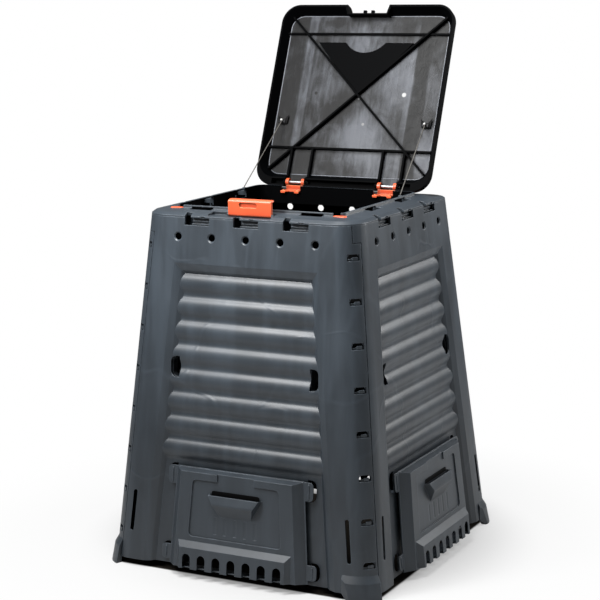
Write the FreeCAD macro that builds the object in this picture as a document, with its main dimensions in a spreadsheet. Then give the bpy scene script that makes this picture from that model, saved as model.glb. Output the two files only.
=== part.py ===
import FreeCAD, Part
import os
import re
from math import atan2, degrees, pi, sqrt

import Sketcher
from FreeCAD import Placement, Rotation, Vector

# Compost bin of four interlocking wall panels with lift-up doors, a top frame and a hinged lid.
# Millimetres, +Z up. The bin stands on the floor, z = 0, with its front face towards -Y.

SIZES = [
    # walls, seen from the side: they lean inwards towards the top
    ("base_half", 442.3, "half width of the outer wall plane at the floor"),
    ("lean", 5.41, "lean of the walls, degrees"),
    ("corner_round", 75, "outer radius of the corner columns"),
    ("wall", 4, "wall thickness"),
    ("wall_top", 1038, "height of the panels' top edge"),
    ("sole_gap", 21, "height of the wall's lower edge between the feet"),
    ("centre_shift", 21, "from the bin's centre to the centre of its box with the lid open"),
    # corner column, which laps over the next panel
    ("seam_angle", 65, "turn of the column from its own face to the seam, degrees"),
    ("seam_gap", 2, "gap along the seam, degrees of the column"),
    ("lap_gap", 0.4, "clearance between the column and the lap behind it"),
    ("lap_wall", 3, "thickness of the lap"),
    ("lap_end", 62, "turn of the lap's free end, degrees"),
    ("lap_low", 26, "height of the lap's lower end"),
    ("lap_high", 1026, "height of the lap's upper end"),
    ("step_drop", 49, "from the panels' top edge down to the step at the top of the seam"),
    ("step_angle", 43.4, "turn of the seam above the step, degrees"),
    ("latch_slots", 8, "slots in each column"),
    ("slot_first", 102, "height of the lowest column slot"),
    ("slot_pitch", 121.3, "height from slot to slot"),
    ("slot_wide", 36, "width of a column slot"),
    ("slot_high", 19, "height of a column slot"),
    ("lap_window", 32, "width of the lap's window behind a column slot"),
    ("hook_wide", 15, "width of a hook in a column slot"),
    ("hook_high", 9, "height of a hook"),
    ("hook_short", 1.2, "distance of a hook's face behind the column's face"),
    # feet
    ("foot_height", 76, "height where the foot leaves the wall"),
    ("foot_shoulder", 54, "height of the foot's shoulder"),
    ("foot_bulge", 10, "how far the shoulder stands out"),
    ("foot_flare", 14, "how far the sole stands out"),
    ("foot_start", 337, "distance of the foot's inner end from the middle of a wall"),
    ("foot_ramp", 30, "run of the sloping end of a foot"),
    ("foot_run", 80, "length over which a foot grows out of the wall, as seen from above"),
    # recessed field with waves
    ("field_margin", 124, "from the wall's virtual corner to the field's border"),
    ("field_top", 911, "upper border of the field, up the slope"),
    ("field_depth", 20, "depth of the field"),
    ("field_middle", 9, "depth of the soft bend in the field's border"),
    ("bend_inset", 21, "inset of the border at that bend"),
    ("floor_inset", 34, "inset of the border at the floor"),
    ("wave_count", 8, "number of waves"),
    ("wave_first", 853, "crest of the top wave, up the slope"),
    ("wave_pitch", 69.6, "crest to crest"),
    ("wave_height", 10, "height of a wave"),
    ("wave_crest", 46, "width of a crest between its inflections"),
    # vents, notches and slots
    ("vent_count", 5, "vents in a row"),
    ("vent_bore", 20, "bore of a vent"),
    ("vent_flare", 27, "width of a vent's bevel"),
    ("vent_drop", 51, "from the panels' top edge down to the row of vents"),
    ("vent_pitch", 110.5, "distance between vents"),
    ("notch_pitch", 159, "distance between the rim notches"),
    ("notch_wide", 81, "width of a rim notch"),
    ("notch_low", 1021, "lower edge of the notches, up the slope"),
    ("side_slot_high", 226, "top of the tall slots, up the slope"),
    ("side_slot_low", 112, "bottom of the tall slots"),
    ("side_slot_at", 357, "distance of the tall slots' lower end from the middle"),
    ("side_slot_wide", 13, "width of the tall slots"),
    # windows for the door's ears
    ("window_gap", 4, "clearance of a window round an ear"),
    ("window_round", 17, "radius of a window's outer corners"),
    ("sleeve_depth", 26, "depth of the sleeve behind a middle window"),
    ("sleeve_wall", 3, "thickness of that sleeve"),
    # doors
    ("opening_half", 172, "half width of the doorway"),
    ("opening_top", 298, "top of the doorway, up the slope"),
    ("door_low", 28, "bottom of the door, up the slope"),
    ("door_top", 320, "top of the door"),
    ("door_half", 208, "half width of the door at its top"),
    ("door_spread", 20, "how much wider each side is at the bottom"),
    ("door_back", 9.5, "depth of the door's back behind the wall plane"),
    ("door_edge", 4, "thickness of the door's edge and ears"),
    ("door_face", 20, "height of the door's frame over the wall plane"),
    ("door_bevel", 28, "inset of the door's frame from its side edges"),
    ("door_brow", 9, "inset of the door's frame from its top edge"),
    ("door_wall", 3.5, "thickness of the moulded door"),
    ("door_inset", 4, "depth of the door's inset panel"),
    ("inset_half", 141, "half width of the inset panel at its top"),
    ("inset_foot", 151, "half width of the inset panel at its bottom"),
    ("inset_low", 122, "bottom of the inset panel"),
    ("inset_high", 290, "top of the inset panel beside its middle part"),
    ("inset_middle", 60, "half width of the middle part, which runs out at the door's top"),
    ("inset_round", 12, "corner radius of the inset panel"),
    ("sill_low", 91, "lower edge of the sill's slope"),
    ("sill_high", 108, "upper edge of the sill's slope"),
    ("comb_face", 36, "height of the comb over the wall plane"),
    ("comb_half", 172, "half width of the comb's face"),
    ("comb_draft", 15, "how much wider each side of the comb is at its root"),
    ("arch_count", 7, "arches in the comb"),
    ("arch_pitch", 49.4, "distance between arches"),
    ("arch_wide", 27, "width of an arch"),
    ("arch_top", 72, "top of the arches"),
    ("flute_count", 5, "shallow flutes under the handle"),
    ("flute_pitch", 33, "distance between flutes"),
    ("flute_round", 20, "radius of the flutes' cutter"),
    ("flute_deep", 1, "depth of a flute"),
    ("flute_long", 50, "length of a flute"),
    ("handle_half", 86, "half width of the handle at its upper edge"),
    ("handle_foot", 54, "half width of the handle at its lower end"),
    ("handle_low", 196, "lower end of the handle, on the plane of the door's frame"),
    ("handle_crest", 228, "height of the handle's crest"),
    ("handle_high", 252, "upper edge of the handle"),
    ("handle_out", 38, "height of the crest over the wall plane"),
    ("handle_lip", 32, "height of the handle's upper edge over the wall plane"),
    ("handle_draft", 0.32, "inset of the handle's sides for each millimetre outwards"),
    ("handle_wall", 3, "thickness of the handle"),
    ("ear_top_high", 319, "top of the upper ears"),
    ("ear_top_tall", 54, "height of an upper ear"),
    ("ear_top_reach", 236, "reach of the upper ears from the middle"),
    ("ear_low_high", 83, "top of the lower ears"),
    ("ear_low_tall", 44, "height of a lower ear"),
    ("ear_low_reach", 254, "reach of the lower ears"),
    ("ear_round", 12, "radius of the ears' outer corners"),
    ("ledge_wide", 22, "width of the ledges that carry the door"),
    ("lift", 316, "travel of the door"),
    # top frame
    ("rim_height", 4.5, "height of the frame's outer band"),
    ("rim_shoulder", 1050, "height where the frame's bevel ends"),
    ("rim_bevel", 12, "inset of the shoulder"),
    ("lip_top", 1064, "height of the frame's lip"),
    ("lip_half", 278, "half width over the lip's outer foot"),
    ("lip_front", 282, "lip's outer foot at the front"),
    ("lip_rear", 240, "lip's outer foot at the rear"),
    ("lip_wide", 12, "width of the lip"),
    ("lip_round", 34, "corner radius of the lip"),
    ("ledge_top", 1045, "height of the flat ledge at the rear"),
    ("ledge_front", 243, "front of that ledge"),
    ("plate_low", 1041, "underside of the frame's top"),
    ("skirt_wall", 3, "thickness of the frame's inner skirts"),
    ("skirt_low", 1008, "lower edge of the frame's inner skirts"),
    ("seat_gap", 0.6, "clearance between the skirt and the panels"),
    ("long_slot", 72, "length of the windows through the lip"),
    ("long_slot_wide", 14, "how far those windows reach into the bevel in front of the lip"),
    ("hole_deep", 20, "depth of the open part of a notch, from the wall plane"),
    ("front_window", 142, "distance of the lip's front windows from the middle"),
    ("side_window", 66, "distance of the lip's side windows from the middle"),
    ("tongue_back", 12, "depth of the frame's tongues behind the wall plane"),
    # corner clips
    ("clip_x", 264, "distance of the clips from the middle, across"),
    ("clip_front", 278, "front clips ahead of the middle"),
    ("clip_rear", 272, "rear clips behind the middle"),
    ("clip_long", 42, "length of a clip"),
    ("clip_wide", 20, "width of a clip"),
    ("clip_round", 9, "corner radius of a clip"),
    ("clip_dome", 4, "radius along the top edge of a clip"),
    ("clip_top", 1057, "top of the front clips"),
    ("clip_rear_top", 1047.5, "top of the rear clips"),
    ("clip_sunk", 2, "from the underside of the frame's top to the bottom of a clip"),
    # hinge
    ("axis_y", 270, "hinge axis behind the middle"),
    ("axis_z", 1071, "height of the hinge axis"),
    ("open_angle", 112.4, "angle of the open lid, degrees"),
    ("hinge_at", 159, "distance of each hinge from the middle"),
    ("hinge_wide", 64, "width of a hinge bracket"),
    ("bracket_base", 4, "thickness of a bracket's base"),
    ("ear_thick", 10, "thickness of a bracket's ear"),
    ("ear_radius", 12, "radius of a bracket's ear"),
    ("pin_bore", 10, "diameter of the hinge pin"),
    ("pin_play", 0.05, "radial clearance of the pin in the lid"),
    ("pin_seat", 0.01, "radial clearance of the pin in the bracket"),
    ("knuckle_gap", 1, "side clearance between bracket and lid"),
    ("knuckle_thick", 7, "thickness of a lid knuckle"),
    # lid, in its own closed position about the hinge axis
    ("lid_half", 300, "half width of the lid"),
    ("lid_rear", 16, "rear edge behind the axis"),
    ("lid_front", 587, "front edge ahead of the axis"),
    ("lid_low", -15, "skirt's edge below the axis"),
    ("lid_top", 20, "top of the lid over the axis"),
    ("lid_round", 60, "corner radius of the lid"),
    ("lid_plate", 4, "thickness of the lid's top"),
    ("lid_lip", 6, "width of the skirt's edge"),
    ("lid_slope", 23, "inset of the inner panel at the sides"),
    ("lid_band", 27, "width of the rear flange band"),
    ("rib_high", 15, "height of the crossed ribs"),
    ("rib_thick", 6, "thickness of the ribs"),
    ("pad_deep", 9, "how far the grip's pad stands out under the lid's top"),
    ("pad_top", 119, "front edge of that pad behind the lid's front edge"),
    ("pad_half", 165, "half width of the pad at its front edge"),
    ("bite_half", 75, "half width of the round bite in the pad's front edge"),
    ("bite_round", 90, "radius of that bite"),
    ("notch_half", 74, "half width of the lid's notch"),
    ("notch_deep", 28, "depth of the lid's notch"),
    ("notch_taper", 8, "how much narrower each side gets inwards"),
    # latch
    ("latch_half", 69, "half width of the latch"),
    ("latch_axis_y", -316, "latch axis ahead of the middle"),
    ("latch_axis_z", 1050.5, "height of the latch axis"),
    ("latch_hub", 4.8, "radius of the latch's hub"),
    ("latch_high", 44, "height of the latch over its axis"),
    ("latch_pin_bore", 4, "diameter of the latch pin"),
    ("catch_gap", 0.5, "clearance between the latch's hook and the lid's catches"),
    # cords
    ("cord_size", 3, "diameter of the stay cords"),
    ("cleat_x", 249, "distance of a cord cleat from the middle"),
    ("cleat_y", -202, "cleat ahead of the hinge axis, lid closed"),
    ("anchor_x", 266, "distance of a cord anchor from the middle"),
    ("anchor_high", 3, "height of a cord anchor over the lip"),
    ("anchor_y", 125, "cord anchor behind the middle"),
]

doc = FreeCAD.newDocument("CompostBin")
sheet = doc.addObject("Spreadsheet::Sheet", "Sizes")
for row, (alias, number, meaning) in enumerate(SIZES, start=1):
    sheet.set(f"A{row}", meaning)
    sheet.set(f"B{row}", str(number))
    sheet.setAlias(f"B{row}", alias)
doc.recompute()


def size(text):
    """Value of an expression of sizes."""
    return float(sheet.evalExpression(text))


def bound(text):
    """The same expression with every alias written as a cell of the sheet."""
    return re.sub(r"\b([a-z]\w*)\b(?!\()", r"Sizes.\1", text)


# Expressions for what follows from the sizes
def half_width(height):
    """Half width of the outer wall plane at a height."""
    return f"(base_half - ({height}) * tan(lean))"


def edge_at(along, margin):
    """Distance from the middle to a line parallel to the wall's slanting edge."""
    return f"(base_half - ({along}) * sin(lean) - ({margin}))"


# Each wall panel and door is drawn lying on its outer plane: X across, Y up the slope, Z outwards.
TILT = Placement(Vector(0, -size("base_half"), 0), Rotation(Vector(1, 0, 0), 90 - size("lean")))


def upright(item, base=Vector(0, 0, 0), turn=Rotation()):
    """Place an item by its standing position in the drawing of a lying panel."""
    item.Placement = TILT.inverse() * Placement(base, turn)


def move(item, x="0", y="0", z="0"):
    """Place an item at bound coordinates."""
    item.Placement = Placement(Vector(size(x), size(y), size(z)), item.Placement.Rotation)
    for name, text in zip("xyz", (x, y, z)):
        item.setExpression("Placement.Base." + name, bound(text))


def block(name, across, along, out):
    """Box between bound limits."""
    item = doc.addObject("Part::Box", name)
    for side, (low, high) in zip(("Length", "Width", "Height"), (across, along, out)):
        item.setExpression(side, bound(f"({high}) - ({low})"))
    move(item, across[0], along[0], out[0])
    return item


def drum(name, radius, height, base, turn=None):
    """Cylinder from a bound base point, along Z or turned."""
    item = doc.addObject("Part::Cylinder", name)
    item.setExpression("Radius", bound(radius))
    item.setExpression("Height", bound(height))
    if turn:
        item.Placement = Placement(Vector(0, 0, 0), turn)
    move(item, *base)
    return item


ALONG_X = Rotation(Vector(0, 1, 0), 90)
ALONG_Y = Rotation(Vector(1, 0, 0), -90)
SIDEWAYS = Rotation(Vector(1, 1, 1), 120)


def combine(kind, name, items):
    item = doc.addObject(kind, name)
    item.Shapes = items
    item.Refine = False
    return item


def fuse(name, *items):
    return combine("Part::MultiFuse", name, list(items)) if len(items) > 1 else items[0]


def common(name, *items):
    return combine("Part::MultiCommon", name, list(items))


def cut(name, base, *tools):
    item = doc.addObject("Part::Cut", name)
    item.Base = base
    item.Tool = fuse(name + "_tools", *tools)
    item.Refine = False
    return item


def mirrored(side, low, high):
    """Limits of a feature on the right, side 1, or its mirror image on the left, side -1."""
    return (low, high) if side > 0 else (f"-({high})", f"-({low})")


def outline(name, points, owner=doc):
    """Closed sketch through bound points; a point may add the radius and turn of an arc to the next."""
    sketch = owner.newObject("Sketcher::SketchObject", name) if owner is not doc else doc.addObject(
        "Sketcher::SketchObject", name)
    spots = [Vector(size(p[0]), size(p[1]), 0) for p in points]
    edges, starts, ends = [], [], []
    for index, point in enumerate(points):
        here, there = spots[index], spots[(index + 1) % len(points)]
        if len(point) == 2:
            edges.append(Part.LineSegment(here, there))
            starts.append(1)
            ends.append(2)
            continue
        radius, turn = size(point[2]), point[3]
        chord = there - here
        rise = sqrt(max(radius ** 2 - (chord.Length / 2) ** 2, 0))
        left = Vector(-chord.y, chord.x, 0).normalize()
        centre = (here + there) * 0.5 + left * (turn * rise)
        first, last = (here, there) if turn > 0 else (there, here)
        angles = [atan2((p - centre).y, (p - centre).x) for p in (first, last)]
        if angles[1] < angles[0]:
            angles[1] += 2 * pi
        edges.append(Part.ArcOfCircle(Part.Circle(centre, Vector(0, 0, 1), radius), *angles))
        starts.append(1 if turn > 0 else 2)
        ends.append(2 if turn > 0 else 1)
    sketch.addGeometry(edges, False)
    count = len(points)
    for index in range(count):
        after = (index + 1) % count
        sketch.addConstraint(Sketcher.Constraint("Coincident", index, ends[index], after, starts[after]))
    for index, point in enumerate(points):
        for kind, text, spot in (("DistanceX", point[0], spots[index].x), ("DistanceY", point[1], spots[index].y)):
            number = sketch.addConstraint(Sketcher.Constraint(kind, -1, 1, index, starts[index], spot))
            sketch.setExpression(f"Constraints[{number}]", bound(text))
        if len(point) > 2:
            number = sketch.addConstraint(Sketcher.Constraint("Radius", index, size(point[2])))
            sketch.setExpression(f"Constraints[{number}]", bound(point[2]))
    return sketch


def rounded(name, across, along, radii, owner=doc):
    """Rectangle sketch; radii are those of its lower left, lower right, upper right, upper left corners."""
    (x0, x1), (y0, y1) = across, along
    corners = [(x0, y0, 0, 1, 1, 0), (x1, y0, -1, 0, 0, 1), (x1, y1, 0, -1, -1, 0), (x0, y1, 1, 0, 0, -1)]
    points = []
    for (x, y, ax, ay, bx, by), radius in zip(corners, radii):
        if radius == "0":
            points.append((x, y))
            continue
        points.append((f"{x} + {ax} * ({radius})", f"{y} + {ay} * ({radius})", radius, 1))
        points.append((f"{x} + {bx} * ({radius})", f"{y} + {by} * ({radius})"))
    return outline(name, points, owner)


def prism(name, sketch, low, high):
    """Solid between two heights over a sketch, along the sketch's normal."""
    item = doc.addObject("Part::Extrusion", name)
    item.Base = sketch
    item.DirMode = "Normal"
    item.Solid = True
    if size(low) > 0:
        # both heights over the sketch: measured backwards, the far one is the longer
        item.Reversed = True
        low, high = f"-({high})", f"-({low})"
    item.setExpression("LengthFwd", bound(high))
    item.setExpression("LengthRev", bound(f"-({low})"))
    return item


def loft(name, sections):
    """Solid with straight rulings through a row of sketches."""
    item = doc.addObject("Part::Loft", name)
    item.Sections = sections
    item.Solid = True
    item.Ruled = True
    return item


def on_column(height, side, angle, radius):
    """Point of a corner column in plan, by its turn from the face and its distance from the axis."""
    middle = f"({half_width(height)} - corner_round)"
    return (f"{side} * ({middle} + ({radius}) * sin({angle}))", f"-({middle}) - ({radius}) * cos({angle})")


def wall_section(name, height, outside="0"):
    """Plan of one panel's wall with the parts of the two columns that belong to it."""
    middle = f"({half_width(height)} - corner_round)"
    outer, inner = f"corner_round + ({outside})", "corner_round - wall"
    left, right = "90 - seam_angle - seam_gap / 2", "seam_angle - seam_gap / 2"
    points = [
        (*on_column(height, -1, left, outer), outer, 1),
        (f"-{middle}", f"-{middle} - ({outer})"),
        (middle, f"-{middle} - ({outer})", outer, 1),
        on_column(height, 1, right, outer),
        (*on_column(height, 1, right, inner), inner, -1),
        (middle, f"-{middle} - ({inner})"),
        (f"-{middle}", f"-{middle} - ({inner})", inner, -1),
        on_column(height, -1, left, inner),
    ]
    sketch = outline(name, points)
    upright(sketch, Vector(0, 0, size(height)))
    return sketch


def sector(name, height, side, start, end, outer, inner):
    """Plan of a piece of column wall between two turns."""
    turn = 1 if side > 0 else -1
    points = [
        (*on_column(height, side, start, outer), outer, turn),
        on_column(height, side, end, outer),
        (*on_column(height, side, end, inner), inner, -turn),
        on_column(height, side, start, inner),
    ]
    sketch = outline(name, points)
    upright(sketch, Vector(0, 0, size(height)))
    return sketch


def lap_section(name, height):
    """Plan of the lap that reaches behind the next panel's column, with its joggle."""
    face = "corner_round - wall - lap_gap"
    back = f"{face} - lap_wall"
    root = "corner_round - wall / 2"
    start, bend = "90 - seam_angle - 9", "90 - seam_angle - 1"
    points = [
        (*on_column(height, -1, start, root), root, -1),
        on_column(height, -1, bend, root),
        (*on_column(height, -1, bend, face), face, -1),
        on_column(height, -1, "lap_end", face),
        (*on_column(height, -1, "lap_end", back), back, 1),
        on_column(height, -1, start, back),
    ]
    sketch = outline(name, points)
    upright(sketch, Vector(0, 0, size(height)))
    return sketch


def radial_box(name, side, height, radii, wide, high, aside="0"):
    """Box across a column's wall on the corner's diagonal."""
    near, far = (size(text) for text in radii)
    width, tall, off = size(wide), size(high), size(aside)
    centre = size(half_width(height)) - size("corner_round")
    item = doc.addObject("Part::Box", name)
    item.setExpression("Length", bound(f"({radii[1]}) - ({radii[0]})"))
    item.setExpression("Width", bound(wide))
    item.setExpression("Height", bound(high))
    turn = Rotation(Vector(0, 0, 1), -45 if side > 0 else -135)
    corner = turn.multVec(Vector(near, off - width / 2, -tall / 2))
    upright(item, Vector(side * centre, -centre, size(height)) + corner, turn)
    return item


def field_section(name, out, inset):
    """Outline of the recessed field at a height over the wall plane."""
    margin = f"field_margin + ({inset})"
    top, low = f"field_top - ({inset})", "-60"
    points = [(f"-{edge_at(low, margin)}", low), (edge_at(low, margin), low),
              (edge_at(top, margin), top), (f"-{edge_at(top, margin)}", top)]
    sketch = outline(name, points)
    move(sketch, z=out)
    return sketch


def wave_region(name, drop):
    """Everything above the waved floor of the field, the floor lowered by a bound amount."""
    slope = "(2 * wave_height / wave_pitch)"
    crest = f"(wave_crest * (1 + {slope}^2) / (4 * {slope}))"
    valley = f"((wave_pitch - wave_crest) * (1 + {slope}^2) / (4 * {slope}))"
    floor = f"-field_depth - ({drop})"
    level = f"({floor} + wave_height * (1 - wave_crest / wave_pitch))"
    last = f"(wave_first - (wave_count - 0.5) * wave_pitch)"
    points = [("wave_first + wave_pitch * 2", "30"), ("-100", "30"), ("-100", floor), (last, floor, valley, 1)]
    waves = int(size("wave_count"))
    for index in range(waves - 1, -1, -1):
        centre = f"(wave_first - {index} * wave_pitch)"
        points.append((f"{centre} - wave_crest / 2", level, crest, -1))
        points.append((f"{centre} + wave_crest / 2", level, valley, 1))
    points.append(("wave_first + wave_pitch / 2", floor))
    points.append(("wave_first + wave_pitch * 2", floor))
    sketch = outline(name + "_profile", points)
    sketch.Placement = Placement(Vector(0, 0, 0), SIDEWAYS)
    return prism(name, sketch, "-base_half", "base_half")


def ear_limits(kind):
    """Reach, bottom and top of the door's upper or lower ears, up the slope."""
    if kind == "top":
        return "ear_top_reach", "ear_top_high - ear_top_tall", "ear_top_high"
    return "ear_low_reach", "ear_low_high - ear_low_tall", "ear_low_high"


def window(name, side, kind, raise_by, grow):
    """Sketch of a window behind an ear, grown on every side by a bound amount."""
    reach, low, high = ear_limits(kind)
    inner = "door_half + door_spread + 6" if kind == "lower" else "door_half + 8"
    across = mirrored(side, f"{inner} - ({grow})", f"{reach} + ({grow})")
    along = (f"{low} + {raise_by} - ({grow})", f"{high} + {raise_by} + ({grow})")
    curve = f"window_round + ({grow}) - window_gap"
    radii = ("0", curve, curve, "0") if side > 0 else (curve, "0", "0", curve)
    return rounded(name, across, along, radii)


def tall_slot(side):
    """Slot beside the door, parallel to the wall's slanting edge."""
    radius = "side_slot_wide / 2"
    upper = f"{side} * (side_slot_at - (side_slot_high - side_slot_low) * sin(lean))"
    lower = f"{side} * side_slot_at"
    points = [
        (f"{upper} - {radius}", "side_slot_high", f"{radius} * 1.02", -1),
        (f"{upper} + {radius}", "side_slot_high"),
        (f"{lower} + {radius}", "side_slot_low", f"{radius} * 1.02", -1),
        (f"{lower} - {radius}", "side_slot_low"),
    ]
    return prism(f"side_slot_{side}", outline(f"side_slot_{side}_shape", points), "-20", "20")


def make_panel():
    """One wall of the bin, drawn lying on its outer plane."""
    wall = loft("panel_wall", [wall_section("wall_low", "sole_gap"), wall_section("wall_high", "wall_top")])

    bores, bevels = [], []
    for index in range(int(size("vent_count"))):
        across, up = f"({index} - (vent_count - 1) / 2) * vent_pitch", "(wall_top - vent_drop)"
        bores.append(drum(f"vent_{index}", "vent_bore / 2", "40", (across, up, "-30")))
        bevel = doc.addObject("Part::Cone", f"vent_bevel_{index}")
        bevel.setExpression("Radius1", "Sizes.vent_bore / 2 - 1")
        bevel.setExpression("Radius2", "Sizes.vent_flare / 2 + 1")
        bevel.setExpression("Height", "(Sizes.vent_flare - Sizes.vent_bore) / 2 + 2")
        # turned, so that the cone's own seam stays clear of the bore's
        bevel.Placement = Placement(Vector(0, 0, 0), Rotation(Vector(0, 0, 1), 30))
        move(bevel, across, up, "1 - (vent_flare - vent_bore) / 2 - 2")
        bevels.append(bevel)
    wall = cut("wall_vented", cut("wall_bored", wall, *bores), *bevels)

    # foot under the column only, growing out of the wall
    rows = [("foot_height", "-1"), ("foot_shoulder", "foot_bulge"), ("0", "foot_flare")]
    foot_ring = loft("foot_ring", [wall_section(f"foot_{n}", h, e) for n, (h, e) in enumerate(rows)])
    between = outline("foot_between", [
        ("-base_half * 2", "foot_height + 5"), ("-base_half * 2", "-5"),
        ("foot_start + foot_ramp", "-5"), ("foot_start", "sole_gap"), ("foot_start", "foot_height + 5")])
    upright(between, Vector(0, 0, 0), Rotation(Vector(1, 0, 0), 90))
    run_out = outline("foot_run_out", [
        ("foot_start - foot_run / 4", "-base_half + foot_run / 8"),
        ("foot_start - foot_run / 4", "-base_half - foot_run / 3"),
        ("foot_start + foot_run * 3 / 4", "-base_half - foot_run / 3")])
    upright(run_out, Vector(0, 0, 0))
    feet = cut("feet", foot_ring, prism("foot_middle", between, "0", "base_half * 2"),
               prism("foot_taper", run_out, "-5", "foot_height + 5"))

    # recessed field: a solid tub of waved thickness, then the air in front of it
    rows = [("-wall / 2", "-5"), ("-field_middle - wall", "bend_inset - 5"),
            ("-field_depth - wall - 1", "floor_inset - 5")]
    tub = loft("tub_outer", [field_section(f"tub_outer_{n}", z, i) for n, (z, i) in enumerate(rows)])
    rows = [("1", "-2"), ("-field_middle", "bend_inset"), ("-field_depth - 1", "floor_inset")]
    air = loft("tub_air", [field_section(f"tub_air_{n}", z, i) for n, (z, i) in enumerate(rows)])
    tub = common("tub_solid", tub, wave_region("waves_back", "wall"))
    air = common("tub_hollow", air, wave_region("waves_front", "0"))
    below = doc.addObject("Part::Box", "below_wall")
    for name in ("Length", "Width"):
        below.setExpression(name, "Sizes.base_half * 3")
    below.setExpression("Height", "Sizes.base_half")
    span = size("base_half") * 1.5
    upright(below, Vector(-span, -span, size("sole_gap") - size("base_half")))
    tub = cut("tub_trimmed", tub, below)
    ledges = []
    for side in (-1, 1):
        ledges.append(block(f"ledge_{side}", mirrored(side, "opening_half + 4", "opening_half + 4 + ledge_wide"),
                            ("sole_gap + 3", "door_low"), ("-field_depth - 1", "-door_back + door_edge")))
    sleeves = [prism(f"sleeve_{side}", window(f"sleeve_shape_{side}", side, "top", "lift", "window_gap + sleeve_wall"),
                     "-field_depth - sleeve_depth", "-field_depth - wall / 2") for side in (-1, 1)]
    shell = fuse("panel_shell", wall, tub, *sleeves)

    # openings
    holes = [air, block("doorway", ("-opening_half", "opening_half"), ("-60", "opening_top"),
                        ("-field_depth - 20", "30"))]
    for side in (-1, 1):
        for kind, lifted in (("top", "0"), ("lower", "0"), ("top", "lift")):
            shape = window(f"window_{kind}_{lifted}_{side}", side, kind, lifted, "window_gap")
            holes.append(prism(f"window_{kind}_{lifted}_{side}_cut", shape, "-field_depth - sleeve_depth - 5", "10"))
        holes.append(tall_slot(side))
    for index in (-1, 0, 1):
        middle = f"({index}) * notch_pitch"
        holes.append(block(f"notch_{index}", (f"{middle} - notch_wide / 2", f"{middle} + notch_wide / 2"),
                           ("notch_low", "wall_top * 1.05"), ("-20", "20")))
    step = [sector(f"step_{h}", h, 1, "step_angle", "seam_angle + 20", "corner_round + 9", "corner_round - wall - 5")
            for h in ("wall_top - step_drop", "wall_top + 6")]
    holes.append(loft("step_cut", step))
    reach = ("corner_round - wall - 2", "corner_round + 9")
    for index in range(int(size("latch_slots"))):
        height = f"slot_first + {index} * slot_pitch"
        holes.append(radial_box(f"column_slot_{index}", 1, height, reach, "slot_wide", "slot_high"))
    body = cut("panel_cut", shell, *holes)

    # tab beside the step, and the lap with its hooks
    start = "90 - seam_angle - seam_gap"
    tab = loft("step_tab", [sector(f"tab_{h}", h, -1, start, "90 - step_angle - seam_gap", "corner_round",
                                   "corner_round - wall") for h in ("wall_top - step_drop + 2", "wall_top")])
    lap = loft("lap", [lap_section("lap_low_plan", "lap_low"), lap_section("lap_high_plan", "lap_high")])
    hooks, windows = [], []
    back = "corner_round - wall - lap_gap - lap_wall"
    reach = (f"{back} + 1", "corner_round - hook_short")
    for index in range(int(size("latch_slots"))):
        height = f"slot_first + {index} * slot_pitch + hook_high / 3"
        windows.append(radial_box(f"lap_window_{index}", -1, height, (f"{back} - 3", "corner_round - wall"),
                                  "lap_window", "slot_high - hook_high * 2 / 3"))
        height = f"slot_first + {index} * slot_pitch - (slot_high - hook_high) / 2 + 1.5"
        hooks.append(radial_box(f"hook_{index}", -1, height, reach, "hook_wide", "hook_high", "4"))
    return fuse("panel", body, feet, tab, cut("lap_open", lap, *windows), *ledges, *hooks)


def door_section(name, out, half, low, high):
    """Outline of the door at a height over the wall plane; it widens downwards."""
    wider = f"({half} + door_spread * (door_top - ({low})) / (door_top - door_low))"
    upper = f"({half} + door_spread * (door_top - ({high})) / (door_top - door_low))"
    sketch = outline(name, [(f"-{wider}", low), (wider, low), (upper, high), (f"-{upper}", high)])
    move(sketch, z=out)
    return sketch


def plain_section(name, out, half, low, high):
    """Rectangular outline at a height over the wall plane."""
    sketch = outline(name, [(f"-({half})", low), (half, low), (half, high), (f"-({half})", high)])
    move(sketch, z=out)
    return sketch


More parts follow.
